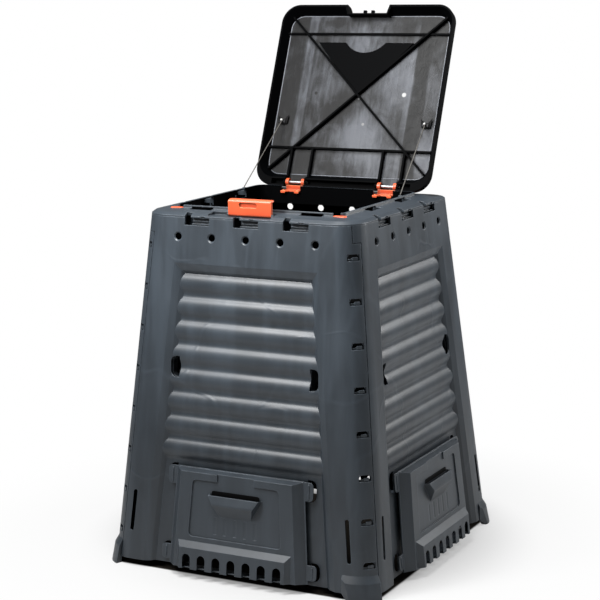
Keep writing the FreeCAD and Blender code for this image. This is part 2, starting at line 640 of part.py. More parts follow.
def make_door():
    """Lift-up door with its comb, scoop handle and four ears, drawn lying like the panel."""
    back, seat = "-door_back", "-door_back + door_edge"
    edge = prism("door_edge_plate", door_section("door_edge_shape", "0", "door_half", "door_low", "door_top"),
                 back, seat)
    rows = [(f"{seat} - 1", "door_half - 2", "door_top - 2"),
            ("door_face", "door_half - door_bevel", "door_top - door_brow")]
    raised = loft("door_raised", [door_section(f"door_raised_{n}", z, a, "door_low", t)
                                  for n, (z, a, t) in enumerate(rows)])
    rows = [("door_face - 1.5", "comb_half + comb_draft", "sill_high + 1.5"), ("comb_face", "comb_half", "sill_low")]
    comb = loft("door_comb", [plain_section(f"comb_{n}", z, a, "door_low", t) for n, (z, a, t) in enumerate(rows)])
    ears = []
    for side in (-1, 1):
        for kind in ("top", "lower"):
            reach, low, high = ear_limits(kind)
            curve = "ear_round"
            radii = ("0", curve, curve, "0") if side > 0 else (curve, "0", "0", curve)
            shape = rounded(f"ear_{kind}_{side}_shape", mirrored(side, "door_half - 12", reach), (low, high), radii)
            ears.append(prism(f"ear_{kind}_{side}", shape, back, seat))
            ears.append(block(f"ear_rib_{kind}_{side}", mirrored(side, f"{reach} - 16", f"{reach} - 12"),
                              (f"{low} + 6", f"{high} - 6"), (f"{seat} - 1", f"{seat} + 2")))

    wedge, pocket = make_handle()

    # hollow back, inset front panel, arches and flutes
    web = "(door_inset + door_wall)"
    rows = [(f"{back} - 0.5", "door_half - 2 - door_wall", "door_top - 2 - door_wall"),
            (f"door_face - {web}", "door_half - door_bevel + door_wall - 0.5", "door_top - door_brow - door_wall + 2")]
    hollow = loft("door_hollow", [door_section(f"door_hollow_{n}", z, a, "door_low + door_wall", t)
                                  for n, (z, a, t) in enumerate(rows)])
    rows = [(f"door_face - {web} - 1", "comb_half + comb_draft - 3", "sill_high - 4"),
            ("comb_face - door_wall", "comb_half - 2", "sill_low - 2")]
    comb_hollow = loft("comb_hollow", [plain_section(f"comb_hollow_{n}", z, a, "door_low + door_wall", t)
                                       for n, (z, a, t) in enumerate(rows)])
    floor = ("door_face - door_inset", "door_face + 5")
    inset = prism("inset", inset_outline(), *floor)
    tab = block("inset_tab", ("-inset_middle", "inset_middle"), ("inset_high - 20", "door_top + 5"), floor)
    cuts = [hollow, comb_hollow]
    radius = "arch_wide / 2"
    for index in range(int(size("arch_count"))):
        across = f"({index} - (arch_count - 1) / 2) * arch_pitch"
        cuts.append(block(f"arch_{index}", (f"{across} - {radius}", f"{across} + {radius}"),
                          ("door_low - 5", f"arch_top - {radius}"), ("door_face + 3", "comb_face + 5")))
        cuts.append(drum(f"arch_crown_{index}", radius, "comb_face - door_face",
                         (across, f"arch_top - {radius}", "door_face + 3")))
    flutes = []
    for index in range(int(size("flute_count"))):
        across = f"({index} - (flute_count - 1) / 2) * flute_pitch"
        flutes.append(drum(f"flute_{index}", "flute_round", "flute_long",
                           (across, "inset_low + 14", "door_face - door_inset - flute_deep + flute_round"), ALONG_Y))
    plate = cut("door_moulded", fuse("door_solid", edge, raised, comb), *cuts, inset, tab, *flutes)
    return fuse("door", cut("door_pocket", fuse("door_handled", plate, wedge), pocket), *ears)


def inset_outline():
    """Outline of the door's inset panel: its sides lean and its corners are round."""
    curve = "inset_round"
    return outline("inset_shape", [
        ("-inset_foot", f"inset_low + {curve}", curve, 1), (f"-inset_foot + {curve}", "inset_low"),
        (f"inset_foot - {curve}", "inset_low", curve, 1), ("inset_foot", f"inset_low + {curve}"),
        ("inset_half", f"inset_high - {curve}", curve, 1), (f"inset_half - {curve}", "inset_high"),
        (f"-inset_half + {curve}", "inset_high", curve, 1), ("-inset_half", f"inset_high - {curve}")])


def handle_section(name, out, gap):
    """Front outline of the handle at a height over the wall plane: it narrows downwards and outwards."""
    widening = "(handle_half - handle_foot) / (handle_high - handle_low)"
    inset = f"(handle_draft * ({out} - door_face) + {gap})"
    below, above = "14", "8"
    low = f"(handle_foot - {below} * {widening} - {inset})"
    high = f"(handle_half + {above} * {widening} - {inset})"
    sketch = outline(name, [(f"-{low}", f"handle_low - {below}"), (low, f"handle_low - {below}"),
                            (high, f"handle_high + {above}"), (f"-{high}", f"handle_high + {above}")])
    move(sketch, z=out)
    return sketch


def make_handle():
    """Wedge of the door's handle, and the pocket behind its lip, open at the top."""
    crest = "2"
    run = f"((handle_crest - {crest} - handle_low) / (handle_out - door_face))"
    fall = f"((handle_out - handle_lip) / (handle_high - handle_crest - {crest}))"
    raised = f"(handle_wall * sqrt(1 + {run}^2))"
    floor, root = "(door_face - door_inset)", "(door_face - door_inset - 2)"
    inside = "(handle_out - handle_wall)"
    wedge = [(f"handle_low - (door_face - {root}) * {run}", root), (f"handle_crest - {crest}", "handle_out"),
             (f"handle_crest + {crest}", "handle_out"), ("handle_high", "handle_lip"), ("handle_high", root)]
    pocket = [(f"handle_low - door_inset * {run} + {raised}", floor),
              (f"handle_low + ({inside} - door_face) * {run} + {raised}", inside),
              (f"handle_crest + {crest}", inside),
              ("handle_high + 6", f"handle_lip - handle_wall - 6 * {fall}"), ("handle_high + 6", floor)]
    solids = []
    for name, points, gap in (("handle_wedge", wedge, "0"), ("handle_pocket", pocket, "handle_wall")):
        profile = outline(f"{name}_profile", points)
        profile.Placement = Placement(Vector(0, 0, 0), SIDEWAYS)
        bar = prism(f"{name}_bar", profile, "-handle_half - 10", "handle_half + 10")
        sides = loft(f"{name}_sides", [handle_section(f"{name}_section_{n}", out, gap)
                                       for n, out in enumerate((root, "(handle_out + 2)"))])
        solids.append(common(name, bar, sides))
    return solids


def level_section(name, height, across, along, radius):
    """Rounded rectangle at a height."""
    sketch = rounded(name, across, along, [radius] * 4)
    move(sketch, z=height)
    return sketch


def ring_section(name, height, half, radius):
    """Rounded square about the bin's middle."""
    return level_section(name, height, (f"-({half})", half), (f"-({half})", half), radius)


def make_frame():
    """Top frame: bevelled rim, raised lip, rear ledge, inner skirts, slots and tongues."""
    edge = half_width("wall_top")
    rows = [("wall_top", edge, "corner_round"),
            ("wall_top + rim_height", f"{edge} - 0.6", "corner_round"),
            ("rim_shoulder", f"{edge} - rim_bevel", "corner_round - rim_bevel"),
            ("lip_top - 8", "lip_half + 6", "lip_round + 6")]
    rim = loft("rim", [ring_section(f"rim_{n}", *row) for n, row in enumerate(rows)])
    inner_x = "(lip_half - lip_wide)"
    front, rear = "(-lip_front + lip_wide / 2)", "(lip_rear - lip_wide / 2)"
    lip = loft("lip", [
        level_section("lip_0", "plate_low + 1", ("-lip_half", "lip_half"), ("-lip_front", "lip_rear"), "lip_round"),
        level_section("lip_1", "lip_top", ("-lip_half + 5", "lip_half - 5"), ("-lip_front + 4", "lip_rear - 3"),
                      "lip_round - 5")])
    well = prism("well", rounded("well_shape", (f"-{inner_x}", inner_x), (front, rear), ["lip_round - lip_wide"] * 4),
                 "skirt_low - 10", "lip_top + 10")
    well_wall = prism("well_wall", rounded("well_wall_shape", (f"-{inner_x} - skirt_wall", f"{inner_x} + skirt_wall"),
                                           (f"{front} - skirt_wall", f"{rear} + skirt_wall"),
                                           ["lip_round - lip_wide + skirt_wall"] * 4),
                      "skirt_low", "plate_low + 2")

    # flat ledge at the rear, and the hollow under the top
    ledge = block("rear_ledge", ("-base_half", "base_half"), ("ledge_front", "base_half"),
                  ("ledge_top", "lip_top + 20"))
    hollow = loft("rim_hollow", [ring_section("rim_hollow_0", "wall_top - 1", f"{edge} - wall - 1", "corner_round - wall"),
                                 ring_section("rim_hollow_1", "plate_low", f"{edge} - wall - 1.4",
                                              "corner_round - wall")])
    seat = "(wall + seat_gap)"
    skirts = []
    for name, gap in (("skirt_outer", "0"), ("skirt_inner", "skirt_wall")):
        skirts.append(loft(name, [
            ring_section(f"{name}_{n}", h, f"{half_width(h)} - {seat} - {gap}", f"corner_round - wall - {gap}")
            for n, h in enumerate(("skirt_low", "plate_low + 1"))]))
    skirt = cut("skirt", *skirts)
    corners = [block(f"skirt_gap_{x}_{y}", mirrored(x, "lip_half - 20", "base_half"), mirrored(y, "lip_half - 20", "base_half"),
                     ("skirt_low - 5", "plate_low - 0.5")) for x in (-1, 1) for y in (-1, 1)]
    skirt = cut("skirt_sides", skirt, *corners)
    plate = cut("rim_open", rim, hollow)
    body = cut("frame_open", fuse("frame_solid", plate, lip, skirt, well_wall), well, ledge)

    # windows through the lip, gaps over the panels' notches, seat of the latch, lip gaps at the hinges
    cuts = []
    band = (f"-{edge} - 10", f"-{edge} + tongue_back - 3")
    for turn in range(4):
        spin = Rotation(Vector(0, 0, 1), 90 * turn)
        for index in (-1, 0, 1):
            middle = f"(({index}) * notch_pitch)"
            left, right = f"{middle} - notch_wide / 2", f"{middle} + notch_wide / 2"
            gap = block(f"skirt_notch_{turn}_{index}", (left, right), (f"-{edge} - 10", f"-{edge} + tongue_back"),
                        ("skirt_low - 1", "wall_top"))
            hole = block(f"rim_hole_{turn}_{index}", (left, f"{middle} - notch_wide / 4"),
                         (f"-{edge} - 10", f"-{edge} + hole_deep"), ("skirt_low - 1", "lip_top"))
            nick = block(f"rim_nick_{turn}_{index}", (f"{middle} + 9", f"{middle} + 26"), band,
                         ("wall_top + 1.2", "wall_top + rim_height"))
            cuts += [spun(item, spin) for item in (gap, hole, nick)]
        for side in (-1, 1):
            start = "side_window" if turn else "front_window"
            item = block(f"lip_window_{turn}_{side}", mirrored(side, start, f"{start} + long_slot"),
                         ("-lip_front - long_slot_wide", "-lip_half + lip_wide + 1"), ("plate_low - 5", "lip_top - 4"))
            if turn != 2:
                cuts.append(spun(item, spin))
    seat_floor = "plate_low + 3.5"
    cuts.append(block("latch_seat", ("-notch_half - 2", "notch_half + 2"), (f"-{edge} - 10", "-lip_front - 16"),
                      (seat_floor, "lip_top + 5")))
    cuts.append(block("seat_pocket", ("-notch_half - 54", "-notch_half"), (f"-{edge} + 4", "-lip_front - 18"),
                      (seat_floor, "lip_top + 5")))
    for side in (-1, 1):
        cuts.append(block(f"hinge_gap_{side}", mirrored(side, "hinge_at - hinge_wide / 2 - 1",
                                                        "hinge_at + hinge_wide / 2 + 1"),
                          ("lip_rear - lip_wide - 5", "ledge_front + 1"), ("ledge_top", "lip_top + 5")))
        for end in (-1, 1):
            cuts.append(clip_pocket(side, end))
    body = cut("frame_slotted", body, *cuts)

    # tongues in the notches, and lugs for the latch pin
    extras = []
    for turn in range(4):
        spin = Rotation(Vector(0, 0, 1), 90 * turn)
        for index in (-1, 0, 1):
            low, high = (f"({index}) * notch_pitch {part}" for part in ("- notch_wide / 4", "+ notch_wide / 2 - 2"))
            outer = f"-{edge} + tongue_back"
            for n, (down, up, out) in enumerate((("22", "-5", "0"), ("22", "18", "8"), ("13", "10", "2"))):
                item = block(f"tongue_{turn}_{index}_{n}", (low, high), (f"{outer} - {out}", f"{outer} + skirt_wall"),
                             (f"wall_top - {down}", f"wall_top - ({up})"))
                extras.append(spun(item, spin))
    for side in (-1, 1):
        lug = fuse(f"lug_{side}",
                   block(f"lug_base_{side}", mirrored(side, "latch_half + 0.6", "latch_half + 5"),
                         ("latch_axis_y - latch_hub", "latch_axis_y + latch_hub"), ("plate_low + 2", "latch_axis_z")),
                   drum(f"lug_eye_{side}", "latch_hub", "4.4",
                        ("latch_half + 0.6" if side > 0 else "-latch_half - 5", "latch_axis_y", "latch_axis_z"), ALONG_X))
        extras.append(lug)
        anchor = block(f"cord_lug_{side}", mirrored(side, "anchor_x - 4", "anchor_x + 4"),
                       ("anchor_y - 5", "anchor_y + 5"), ("lip_top - 2", "lip_top + anchor_high"))
        extras.append(anchor)
    bore = drum("lug_bore", "latch_pin_bore / 2 + pin_seat", "latch_half * 4",
                ("-latch_half * 2", "latch_axis_y", "latch_axis_z"), ALONG_X)
    return cut("frame_bored", fuse("frame_body", body, *extras), bore)


def spun(item, rotation):
    """Turn an item about the bin's upright axis."""
    if rotation.Angle == 0:
        return item
    for name in "xyz":
        item.setExpression("Placement.Base." + name, None)
    item.Placement = Placement(Vector(0, 0, 0), rotation) * item.Placement
    return item


def clip_shape(name, side, end, grow, owner=doc):
    """Limits of a corner clip's block, grown by a bound clearance."""
    middle = "clip_front" if end < 0 else "clip_rear"
    across = mirrored(side, f"clip_x - clip_long / 2 - {grow}", f"clip_x + clip_long / 2 + {grow}")
    along = mirrored(end, f"{middle} - clip_wide / 2 - {grow}", f"{middle} + clip_wide / 2 + {grow}")
    return rounded(name, across, along, [f"clip_round + {grow}"] * 4, owner)


def clip_pocket(side, end):
    return prism(f"clip_pocket_{side}_{end}", clip_shape(f"clip_pocket_shape_{side}_{end}", side, end, "0.3"),
                 "plate_low + clip_sunk", "lip_top + 5")


def make_clip(side, end):
    """Corner clip: a domed block seated in its pocket of the frame."""
    top = "clip_top" if end < 0 else "clip_rear_top"
    body = doc.addObject("PartDesign::Body", f"clip_body_{side}_{end}")
    sketch = clip_shape(f"clip_outline_{side}_{end}", side, end, "0", body)
    plane = next(f for f in body.Origin.OriginFeatures if f.Role == "XY_Plane")
    sketch.AttachmentSupport = [(plane, "")]
    sketch.MapMode = "FlatFace"
    sketch.setExpression("AttachmentOffset.Base.z", bound("plate_low + clip_sunk"))
    pad = body.newObject("PartDesign::Pad", f"clip_pad_{side}_{end}")
    pad.Profile = sketch
    pad.setExpression("Length", bound(f"{top} - plate_low - clip_sunk"))
    doc.recompute()
    rims = [f"Edge{n}" for n, rim in enumerate(pad.Shape.Edges, start=1)
            if rim.BoundBox.ZMin > size(top) - 0.01]
    dome = body.newObject("PartDesign::Fillet", f"clip_dome_{side}_{end}")
    dome.Base = (pad, rims)
    dome.setExpression("Radius", "Sizes.clip_dome")
    return body


def make_lid():
    """Lid in its closed position, with the hinge axis along X through the origin."""
    rows = [("lid_low", "0", "lid_round"), ("lid_top - 12", "2", "lid_round - 2"),
            ("lid_top - 3", "8", "lid_round - 8"), ("lid_top", "17", "lid_round - 17")]
    outer = loft("lid_outer", [
        level_section(f"lid_outer_{n}", z, (f"-lid_half + {i}", f"lid_half - {i}"),
                      (f"-lid_front + {i}", f"lid_rear - {i}"), r) for n, (z, i, r) in enumerate(rows)])
    under = "(lid_top - lid_plate)"
    cavity = loft("lid_cavity", [
        level_section("lid_cavity_0", "lid_low - 0.5", ("-lid_half + lid_lip", "lid_half - lid_lip"),
                      ("-lid_front + lid_lip", "lid_rear - lid_band"), "lid_round - lid_lip"),
        level_section("lid_cavity_1", under, ("-lid_half + lid_slope", "lid_half - lid_slope"),
                      ("-lid_front + lid_slope + 5", "lid_rear - lid_band - 18"), "lid_round - lid_slope + 5")])
    channel = block("band_channel", ("-lid_half + lid_round", "lid_half - lid_round"),
                    ("lid_rear - lid_band + 4", "lid_rear - 6"), ("lid_low - 1", "lid_top - 12"))
    shell = cut("lid_shell", outer, cavity, channel)

    # ribs on the underside, kept inside the cavity
    low = f"{under} - rib_high"
    back_corner, front_corner = ("lid_half - lid_slope - 8", "-44"), ("lid_half - lid_slope - 8", "-lid_front + 36")
    ribs = []
    for side in (-1, 1):
        run = size(f"({front_corner[1]}) - ({back_corner[1]})")
        wide = size(f"2 * ({front_corner[0]})")
        item = doc.addObject("Part::Box", f"cross_rib_{side}")
        item.setExpression("Width", "Sizes.rib_thick")
        item.setExpression("Height", "Sizes.rib_high + 1")
        item.Length = sqrt(run ** 2 + wide ** 2)
        turn = Rotation(Vector(0, 0, 1), degrees(atan2(run, -side * wide)))
        start = Vector(side * wide / 2, size(back_corner[1]), size(low))
        item.Placement = Placement(start - turn.multVec(Vector(0, size("rib_thick") / 2, 0)), turn)
        ribs.append(item)
    for name, y, high in (("front", "-lid_front + 89", "8"), ("rear", "-116", "13")):
        ribs.append(block(f"{name}_rib", ("-lid_half + lid_slope - 6", "lid_half - lid_slope + 6"),
                          (f"{y} - rib_thick / 2", f"{y} + rib_thick / 2"), (f"{under} - {high}", f"{under} + 1")))

    # pad of the grip between the crossed ribs and the front rib, bitten round and hollow from outside
    pad_front, cross = "(-lid_front + pad_top)", "-302"
    pad = prism("grip_pad", outline("grip_pad_shape", [
        ("-pad_half", pad_front), ("pad_half", pad_front), ("12", cross), ("-12", cross)]),
        f"{under} - pad_deep", f"{under} + 1")
    bowl_front = "(-lid_front + pad_top + bite_half / 2 + 4)"
    bowl = prism("grip_bowl", outline("grip_bowl_shape", [
        ("-pad_half * 0.72", bowl_front), ("pad_half * 0.72", bowl_front), ("16", f"{cross} - 10"), ("-16", f"{cross} - 10")]),
        f"{under} - pad_deep + lid_plate", "lid_top + 5")
    bite = prism("grip_bite", outline("grip_bite_shape", [
        ("bite_half", f"{pad_front} - 7", "bite_round", 1), ("-bite_half", f"{pad_front} - 7")]),
        f"{under} - pad_deep - 1", under)
    # knuckles for the two hinge pins, in the hollow of the rear band
    knuckles, slots = [], []
    reach = "hinge_wide / 2 + knuckle_gap"
    for side in (-1, 1):
        for inner in (-1, 1):
            near = f"hinge_at + {inner} * ({reach})" if inner > 0 else f"hinge_at - ({reach}) - knuckle_thick"
            across = mirrored(side, near, f"{near} + knuckle_thick")
            knuckles.append(block(f"knuckle_{side}_{inner}", across, ("-118", "0"), (f"{under} - 14", f"{under} + 1")))
            knuckles.append(drum(f"knuckle_eye_{side}_{inner}", "ear_radius", "knuckle_thick", (across[0], "0", "0"),
                                 ALONG_X))
        gap = mirrored(side, f"hinge_at - ({reach})", f"hinge_at + ({reach})")
        slots.append(block(f"bracket_gap_{side}", gap, ("lid_rear - lid_band - 25", "lid_rear + 5"),
                           ("lid_low - 5", f"{under} - 2")))
    bore = drum("lid_bore", "pin_bore / 2 + pin_play", "lid_half * 2", ("-lid_half", "0", "0"), ALONG_X)

    # notch for the latch, with two catches
    face = "(-lid_front + notch_deep)"
    notch_points = [("-notch_half", "-lid_front - 5"), ("notch_half", "-lid_front - 5"),
                    ("notch_half - notch_taper", face), ("-notch_half + notch_taper", face)]
    notch = prism("latch_notch", outline("latch_notch_shape", notch_points), "lid_low - 5", "lid_top + 5")
    boss_points = [("-notch_half - 5", "-lid_front + 8"), ("notch_half + 5", "-lid_front + 8"),
                   ("notch_half - notch_taper + 4", f"{face} + 4"), ("-notch_half + notch_taper - 4", f"{face} + 4")]
    boss = prism("notch_wall", outline("notch_wall_shape", boss_points), "lid_low", "lid_top - 3")
    catches = [block(f"catch_{side}", (f"{side} * 13.5 - 5", f"{side} * 13.5 + 5"), (f"{face} - 12", f"{face} + 1"),
                     ("lid_low + 8", "lid_low + 16")) for side in (-1, 1)]
    core = cut("lid_core", common("lid_inside", fuse("lid_ribbed", shell, *ribs, pad, boss, *knuckles),
                                  fuse("lid_limits", outer, *[k for k in knuckles if k.TypeId == "Part::Cylinder"])),
               bowl, bite, *slots, notch)
    return cut("lid_closed", fuse("lid_caught", core, *catches), bore)


def make_bracket(side):
    """Hinge bracket: waisted base on the rear ledge, hook over the ledge's edge, two ears round the pin, a web."""
    low, high = "hinge_at - hinge_wide / 2", "hinge_at + hinge_wide / 2"
    front, rear, top = "(lip_rear - lip_wide - 4)", "(axis_y + 14)", "(ledge_top + bracket_base)"
    middle, half = f"{side} * hinge_at", "hinge_wide / 2"
    points = [(f"{middle} - {half}", front), (f"{middle} - {half} + 16", front), (f"{middle} - 8", f"{front} + 12"),
              (f"{middle} + 8", f"{front} + 12"), (f"{middle} + {half} - 16", front), (f"{middle} + {half}", front),
              (f"{middle} + {half}", rear), (f"{middle} - {half}", rear)]
    pieces = [prism(f"bracket_base_{side}", outline(f"bracket_base_shape_{side}", points), "ledge_top", top)]
    for end in (-1, 1):
        along = f"{middle} + {end} * ({half} - 8)"
        pieces.append(block(f"bracket_hook_{side}_{end}", (f"{along} - 7", f"{along} + 7"), (front, f"{front} + 3"),
                            ("ledge_top - 3", top)))
        pieces.append(drum(f"bracket_stud_{side}_{end}", "5", "bracket_base + 2", (along, f"{front} + 8", "ledge_top")))
    pieces.append(block(f"bracket_web_{side}", (f"{middle} - {half} + 1", f"{middle} + {half} - 1"),
                        ("axis_y - 9", "axis_y - 4"), ("ledge_top", "axis_z - pin_bore / 2 - 4")))
    for near in (low, f"{high} - ear_thick"):
        across = mirrored(side, near, f"{near} + ear_thick")
        pieces.append(block(f"bracket_neck_{side}_{near}", across, ("axis_y - ear_radius / 2", "axis_y + ear_radius / 2"),
                            ("ledge_top", "axis_z")))
        pieces.append(drum(f"bracket_eye_{side}_{near}", "ear_radius", "ear_thick", (across[0], "axis_y", "axis_z"),
                           ALONG_X))
    bore = drum(f"bracket_bore_{side}", "pin_bore / 2 + pin_seat", "hinge_wide + 20",
                (mirrored(side, f"{low} - 10", f"{high} + 10")[0], "axis_y", "axis_z"), ALONG_X)
    return cut(f"bracket_{side}", fuse(f"bracket_solid_{side}", *pieces), bore)


def make_pin(side):
    """Hinge pin through the bracket and both knuckles of the lid."""
    reach = "hinge_wide / 2 + knuckle_gap + knuckle_thick + 1"
    across = mirrored(side, f"hinge_at - ({reach})", f"hinge_at + ({reach})")
    return drum(f"pin_{side}", "pin_bore / 2", f"2 * ({reach})", (across[0], "axis_y", "axis_z"), ALONG_X)


def make_latch():
    """Latch: hub on its pin, plate with a finger recess, and a hook over the lid's catches."""
    axis = ("latch_axis_y", "latch_axis_z")
    hub = drum("latch_hub_drum", "latch_hub", "2 * latch_half", ("-latch_half", *axis), ALONG_X)
    catch = f"(axis_y - lid_front + notch_deep - 12 - catch_gap - latch_axis_y)"
    points = [("-5", "0"), ("-5", "latch_high - 8", "9", -1), ("1", "latch_high"), (catch, "latch_high"),
              (catch, "latch_high - 4"), ("4", "latch_high - 7"), ("4", "0")]
    sketch = outline("latch_profile", points)
    sketch.Placement = Placement(Vector(0, 0, 0), SIDEWAYS)
    move(sketch, "0", *axis)
    plate = prism("latch_plate", sketch, "-latch_half", "latch_half")
    plate = common("latch_trimmed", plate, prism("latch_front", latch_front(), "-60", "60"))
    grip = prism("latch_grip", grip_shape(), "0.5", "20")
    bore = drum("latch_bore", "latch_pin_bore / 2 + pin_play", "4 * latch_half", ("-2 * latch_half", *axis), ALONG_X)
    return cut("latch_body", fuse("latch_solid", hub, plate), grip, bore)


def latch_front():
    """Front view of the latch, with its two rounded upper corners."""
    sketch = rounded("latch_front_shape", ("-latch_half", "latch_half"), ("-latch_hub - 1", "latch_high + 1"),
                     ("0", "0", "7", "7"))
    sketch.Placement = Placement(Vector(0, 0, 0), Rotation(Vector(1, 0, 0), 90))
    move(sketch, "0", "latch_axis_y", "latch_axis_z")
    return sketch


def grip_shape():
    sketch = rounded("latch_grip_shape", ("-34", "24"), ("21", "35"), ["6"] * 4)
    sketch.Placement = Placement(Vector(0, 0, 0), Rotation(Vector(1, 0, 0), 90))
    move(sketch, "0", "latch_axis_y", "latch_axis_z")
    return sketch


def make_cleat(side):
    """Cord cleat under the lid: a post with two spread wings, in the lid's own position."""
    under = "(lid_top - lid_plate)"
    post = drum(f"cleat_post_{side}", "4", "10", (f"{side} * cleat_x", "cleat_y", f"{under} - 10"))
    wings = prism(f"cleat_wings_{side}", outline(f"cleat_wings_shape_{side}", [
        (f"{side} * cleat_x - 11", "cleat_y - 6"), (f"{side} * cleat_x", "cleat_y - 2.5"),
        (f"{side} * cleat_x + 11", "cleat_y - 6"), (f"{side} * cleat_x + 11", "cleat_y + 6"),
        (f"{side} * cleat_x", "cleat_y + 2.5"), (f"{side} * cleat_x - 11", "cleat_y + 6")]),
        f"{under} - 12", f"{under} - 9")
    return fuse(f"cleat_{side}", post, wings)


def open_lid():
    """Placement of the open lid about the bin's middle."""
    turn = Rotation(Vector(1, 0, 0), -size("open_angle"))
    return Placement(Vector(0, size("axis_y"), size("axis_z")), turn)


def make_cord(side):
    """Taut stay cord from the lid's cleat to the frame's lip."""
    clear = "0.1"
    spot = Vector(side * size("cleat_x"), size("cleat_y"), size(f"lid_top - lid_plate - 12 - cord_size / 2 - {clear}"))
    upper = open_lid().multVec(spot)
    lower = Vector(side * size("anchor_x"), size("anchor_y"), size(f"lip_top + anchor_high + cord_size / 2 + {clear}"))
    run = lower - upper
    item = doc.addObject("Part::Cylinder", f"cord_{side}")
    item.setExpression("Radius", "Sizes.cord_size / 2")
    item.Height = run.Length
    item.Placement = Placement(upper, Rotation(Vector(0, 0, 1), run))
    print(f"cord {side}: one straight run of {run.Length:.1f} mm")
    return item


def place_all():
    """Make every sub-part and give it its label and its place in the bin."""
    shift = Vector(0, -size("centre_shift"), 0)
    parts = []

    def put(source, label, place=Placement()):
        link = doc.addObject("App::Link", label)
        link.LinkedObject = source
        link.LinkTransform = True
        link.Label = label
        link.Placement = Placement(shift, Rotation()) * place
        parts.append(link)

    panel, door = make_panel(), make_door()
    for turn, name in enumerate(("front", "right", "back", "left")):
        spin = Placement(Vector(0, 0, 0), Rotation(Vector(0, 0, 1), 90 * turn))
        put(panel, f"panel_{name}", spin * TILT)
        put(door, f"door_{name}", spin * TILT)
    put(make_frame(), "top_frame")
    put(make_lid(), "lid", open_lid())
    put(make_latch(), "latch")
    put(drum("latch_rod", "latch_pin_bore / 2", "2 * latch_half + 9.6",
             ("-latch_half - 4.8", "latch_axis_y", "latch_axis_z"), ALONG_X), "latch_pin")
    for side, name in ((-1, "left"), (1, "right")):
        put(make_bracket(side), f"hinge_bracket_{name}")
        put(make_pin(side), f"hinge_pin_{name}")
        put(make_cleat(side), f"cord_cleat_{name}", open_lid())
        for end, where in ((-1, "front"), (1, "rear")):
            put(make_clip(side, end), f"corner_clip_{where}_{name}")
        put(make_cord(side), f"stay_cord_{name}")
    return parts


def main():
    parts = place_all()
    doc.recompute()
    broken = [item.Name for item in doc.Objects if {"Invalid", "Error"} & set(item.State)]
    if broken:
        raise RuntimeError("features that failed: " + ", ".join(broken))
    for part in parts:
        if part.Shape.isNull() or not part.Shape.isValid():
            raise RuntimeError(part.Label + " has no valid shape")
    os.makedirs("parts", exist_ok=True)
    for part in parts:
        part.Shape.exportStep(f"parts/{part.Label}.step")
        box = part.Shape.BoundBox
        print(f"{part.Label}: {len(part.Shape.Solids)} solid, {part.Shape.Volume / 1000:.0f} cm3, "
              f"{box.XLength:.0f} x {box.YLength:.0f} x {box.ZLength:.0f}")


main()
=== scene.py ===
"""Looks of a garden compost bin with a hinged lid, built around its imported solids."""

import math

import bmesh
import bpy
from mathutils import Matrix, Vector


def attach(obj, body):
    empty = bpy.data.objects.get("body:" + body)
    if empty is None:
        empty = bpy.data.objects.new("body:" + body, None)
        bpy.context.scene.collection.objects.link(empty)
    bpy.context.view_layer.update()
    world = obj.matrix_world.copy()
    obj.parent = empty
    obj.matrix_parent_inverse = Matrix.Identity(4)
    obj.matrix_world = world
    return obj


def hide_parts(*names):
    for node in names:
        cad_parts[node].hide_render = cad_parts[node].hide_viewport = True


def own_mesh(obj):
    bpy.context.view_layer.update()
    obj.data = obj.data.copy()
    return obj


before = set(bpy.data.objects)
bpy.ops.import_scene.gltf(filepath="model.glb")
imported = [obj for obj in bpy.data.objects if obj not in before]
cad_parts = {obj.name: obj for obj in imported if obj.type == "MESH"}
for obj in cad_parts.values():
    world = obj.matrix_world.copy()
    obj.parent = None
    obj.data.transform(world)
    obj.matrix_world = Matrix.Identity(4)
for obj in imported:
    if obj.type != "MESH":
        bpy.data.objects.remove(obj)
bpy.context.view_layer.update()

bl_info = {
    "name": "Compost bin",
    "version": (1, 0, 0),
    "blender": (4, 5, 0),
    "location": "3D View > Sidebar > Compost bin",
    "description": "Dresses the solids of a garden compost bin and sets it in a plain studio",
    "category": "Object",
}

SIDES = ("front", "right", "back", "left")
HANDS = ("left", "right")

# The bin, in metres: its middle, a wall's foot from there, the walls' lean, the ground inside, painted
# dark as shade
CENTRE_Y = -0.021
BASE_HALF = 0.4423
LEAN = math.radians(5.41)
SHADED_GROUND_HALF = 0.43

# The lid: y and z of its hinge axis, its opening, and its plate's two faces over that axis when closed.
# What lies on the lid is placed from that axis, closed: across, along (forward is negative), height.
HINGE = (0.249, 1.071)
LID_OPEN = math.radians(112.4)
LID_INNER = 0.016
LID_OUTER = 0.020
LID_MIDDLE = (LID_INNER + LID_OUTER) / 2
OPEN_LID = Matrix.Translation((0, *HINGE)) @ Matrix.Rotation(-LID_OPEN, 4, "X")

# The bead round the lid's inner plate, pale as a painted highlight: half width, front and rear ends,
# corner, its own radius
BEAD_HALF = 0.2765
BEAD_FRONT, BEAD_REAR = -0.5585, -0.0295
BEAD_CORNER = 0.042
BEAD = 0.0016

# The cord cleats: place, outline of the wings, their height, thickness and edge, half profile of the pin
CLEAT = (0.249, -0.204)
WINGS = ((-0.019, -0.019), (-0.0065, -0.006), (0.0065, -0.006), (0.019, -0.022),
         (0.0165, 0.009), (0.007, 0.011), (-0.007, 0.011), (-0.0145, 0.008))
WINGS_LOW, WINGS_THICK, WINGS_EDGE = 0.0085, 0.003, 0.0009
CLEAT_PIN = ((0, -0.0045), (0.0022, -0.0042), (0.0034, -0.0028), (0.0038, -0.001), (0.0038, 0.002),
             (0, 0.002))

# The stay cords: thickness, straight run at each end, the right cord's ends on the lid and on the frame
CORD = 0.003
CORD_RUN = 6 * CORD
CORD_ON_LID = (0.249, 0.328195, 1.256844)
CORD_ON_FRAME = (0.266, 0.104, 1.0686)
